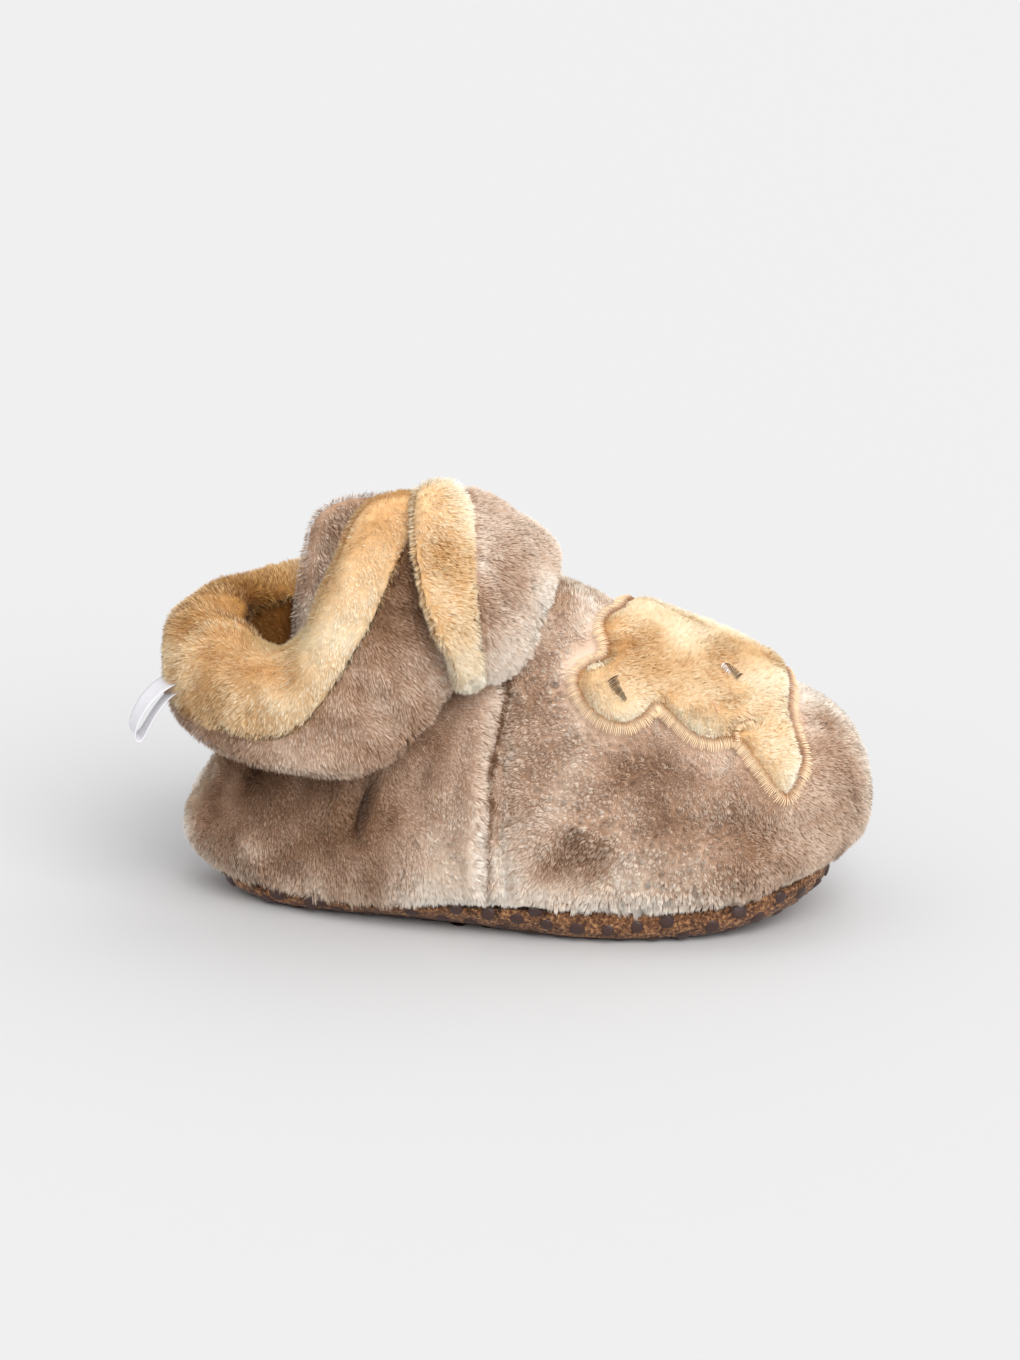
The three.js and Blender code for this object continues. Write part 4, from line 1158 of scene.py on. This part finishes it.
# %% The insole and the ribbon
pad = Shader("insole_pad", Roughness=0.95, Sheen_Weight=0.3)
pad.feed("Base Color", pad.ramp(pad.noise(900, 4, 0.7), [(0.3, linear(150, 104, 58)), (0.7, linear(206, 160, 104))]))
pad.bump(pad.noise(1200, 3), 0.3 * MM, 0.6)
insole = soft_copy("insole", 1.6 * MM, 2)
insole_piece = mesh_piece(
    "insole_cloth", insole["points"], insole["triangles"], pad.material, ("insole",))

satin = Shader("satin_ribbon", Roughness=0.32, Sheen_Weight=0.4, Alpha=0.86)
satin.surface.inputs["Specular IOR Level"].default_value = 0.6
weave = satin.stored("pile", 0)
stripe = satin.node("ShaderNodeTexNoise", {"noise_dimensions": "1D"}, {"W": weave * 40, "Detail": 2.0})
satin.feed("Base Color", satin.ramp(stripe, [(0.3, linear(218, 214, 224)), (0.7, linear(250, 249, 252))]))
satin.bump(stripe, 0.1 * MM, 0.4)

loop_low, loop_high = (Vector(corner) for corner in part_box("pull_loop"))
LOOP_WIDTH = 6.6 * MM
LOOP_PATH = [
    (-0.6, 0.0), (1.6, 0.5), (4.0, 2.0), (6.2, 4.4), (7.7, 7.2), (8.2, 9.4), (7.8, 10.5), (7.0, 10.6), (6.2, 9.4),
    (4.8, 6.8), (3.1, 4.4), (1.4, 2.6), (-0.8, 1.4),
]
outward_way = np.array([-math.cos(math.radians(20)), -math.sin(math.radians(20)), 0])
side_way = np.array([-outward_way[1], outward_way[0], 0])
root = np.array([loop_high.x, (loop_low.y + loop_high.y) / 2 + 1.6 * MM, loop_high.z]) + outward_way * -0.2 * MM
path = np.array([root + outward_way * out * MM - np.array([0, 0, down * MM]) for out, down in LOOP_PATH])
fine = np.linspace(0, len(path) - 1, 49)
path = np.stack([np.interp(fine, np.arange(len(path)), path[:, k]) for k in range(3)], axis=1)
for _ in range(3):
    path[1:-1] = path[1:-1] * 0.5 + (path[:-2] + path[2:]) * 0.25
ahead = unit(np.gradient(path, axis=0))
twist = np.linspace(-0.1, 0.25, len(path))[:, None]
width_way = unit(side_way + twist * outward_way - ahead * ((side_way * ahead).sum(axis=1, keepdims=True)))
facing = unit(np.cross(ahead, width_way))
BANDS = 10
grid = []
for side, lift in [(k / BANDS, 1) for k in range(BANDS + 1)] + [(k / BANDS, -1) for k in range(BANDS, -1, -1)]:
    sway = 0.12 * MM * math.cos(side * math.pi * 2)
    grid.append(path + width_way * (side - 0.5) * LOOP_WIDTH + facing * (lift * 0.09 * MM + sway))
grid = np.array(grid)
ring = len(grid)
faces = []
for i in range(len(path) - 1):
    for k in range(ring):
        a, b = k * len(path) + i, ((k + 1) % ring) * len(path) + i
        faces += [(a, b, b + 1), (a, b + 1, a + 1)]
pile = np.full((ring * len(path), 3), 0.5)
pile[:, 0] = np.repeat([k / BANDS for k in range(BANDS + 1)] + [k / BANDS for k in range(BANDS, -1, -1)], len(path))
mesh_piece("ribbon_loop", grid.reshape(-1, 3), np.array(faces), satin.material, ("pull_loop",),
           pile=pile)

# %% [markdown]
# ## Floor and light
# The photograph is a catalogue picture: a pale grey floor that runs into a pale wall, with soft light from
# all round and shadows that only gather under the shoe. A bright even sky gives that. One large soft light
# from the front, high and to the right, shapes the pile, a weak one from the left opens its shade, and
# another weak one from behind draws a pale edge along the top.

# %% Floor and light
floor_look = Shader("floor", Roughness=0.8)
floor_look.surface.inputs["Base Color"].default_value = (*linear(201, 201, 201), 1)
floor_mesh = bpy.data.meshes.new("floor")
floor_mesh.from_pydata([(-4, -4, 0), (4, -4, 0), (4, 4, 0), (-4, 4, 0)], [], [(0, 1, 2, 3)])
floor_mesh.materials.append(floor_look.material)
floor = bpy.data.objects.new("floor", floor_mesh)
bpy.context.scene.collection.objects.link(floor)

world = bpy.data.worlds.new("studio")
bpy.context.scene.world = world
world.use_nodes = True
world.node_tree.nodes["Background"].inputs["Color"].default_value = (*linear(246, 246, 248), 1)
world.node_tree.nodes["Background"].inputs["Strength"].default_value = 0.8


def soft_sun(name, towards, strength, spread):
    """A distant soft light that comes from the given direction."""
    data = bpy.data.lights.new(name, "SUN")
    data.energy = strength
    data.angle = math.radians(spread)
    lamp = bpy.data.objects.new(name, data)
    lamp.rotation_euler = Vector(towards).to_track_quat("Z", "Y").to_euler()
    bpy.context.scene.collection.objects.link(lamp)


soft_sun("key", (0.5, -0.85, 0.85), 2.6, 50)
soft_sun("fill", (-0.7, -0.8, 0.7), 0.3, 80)
soft_sun("behind", (0.5, 0.5, 0.9), 0.6, 60)
bpy.context.scene.view_settings.view_transform = "Standard"
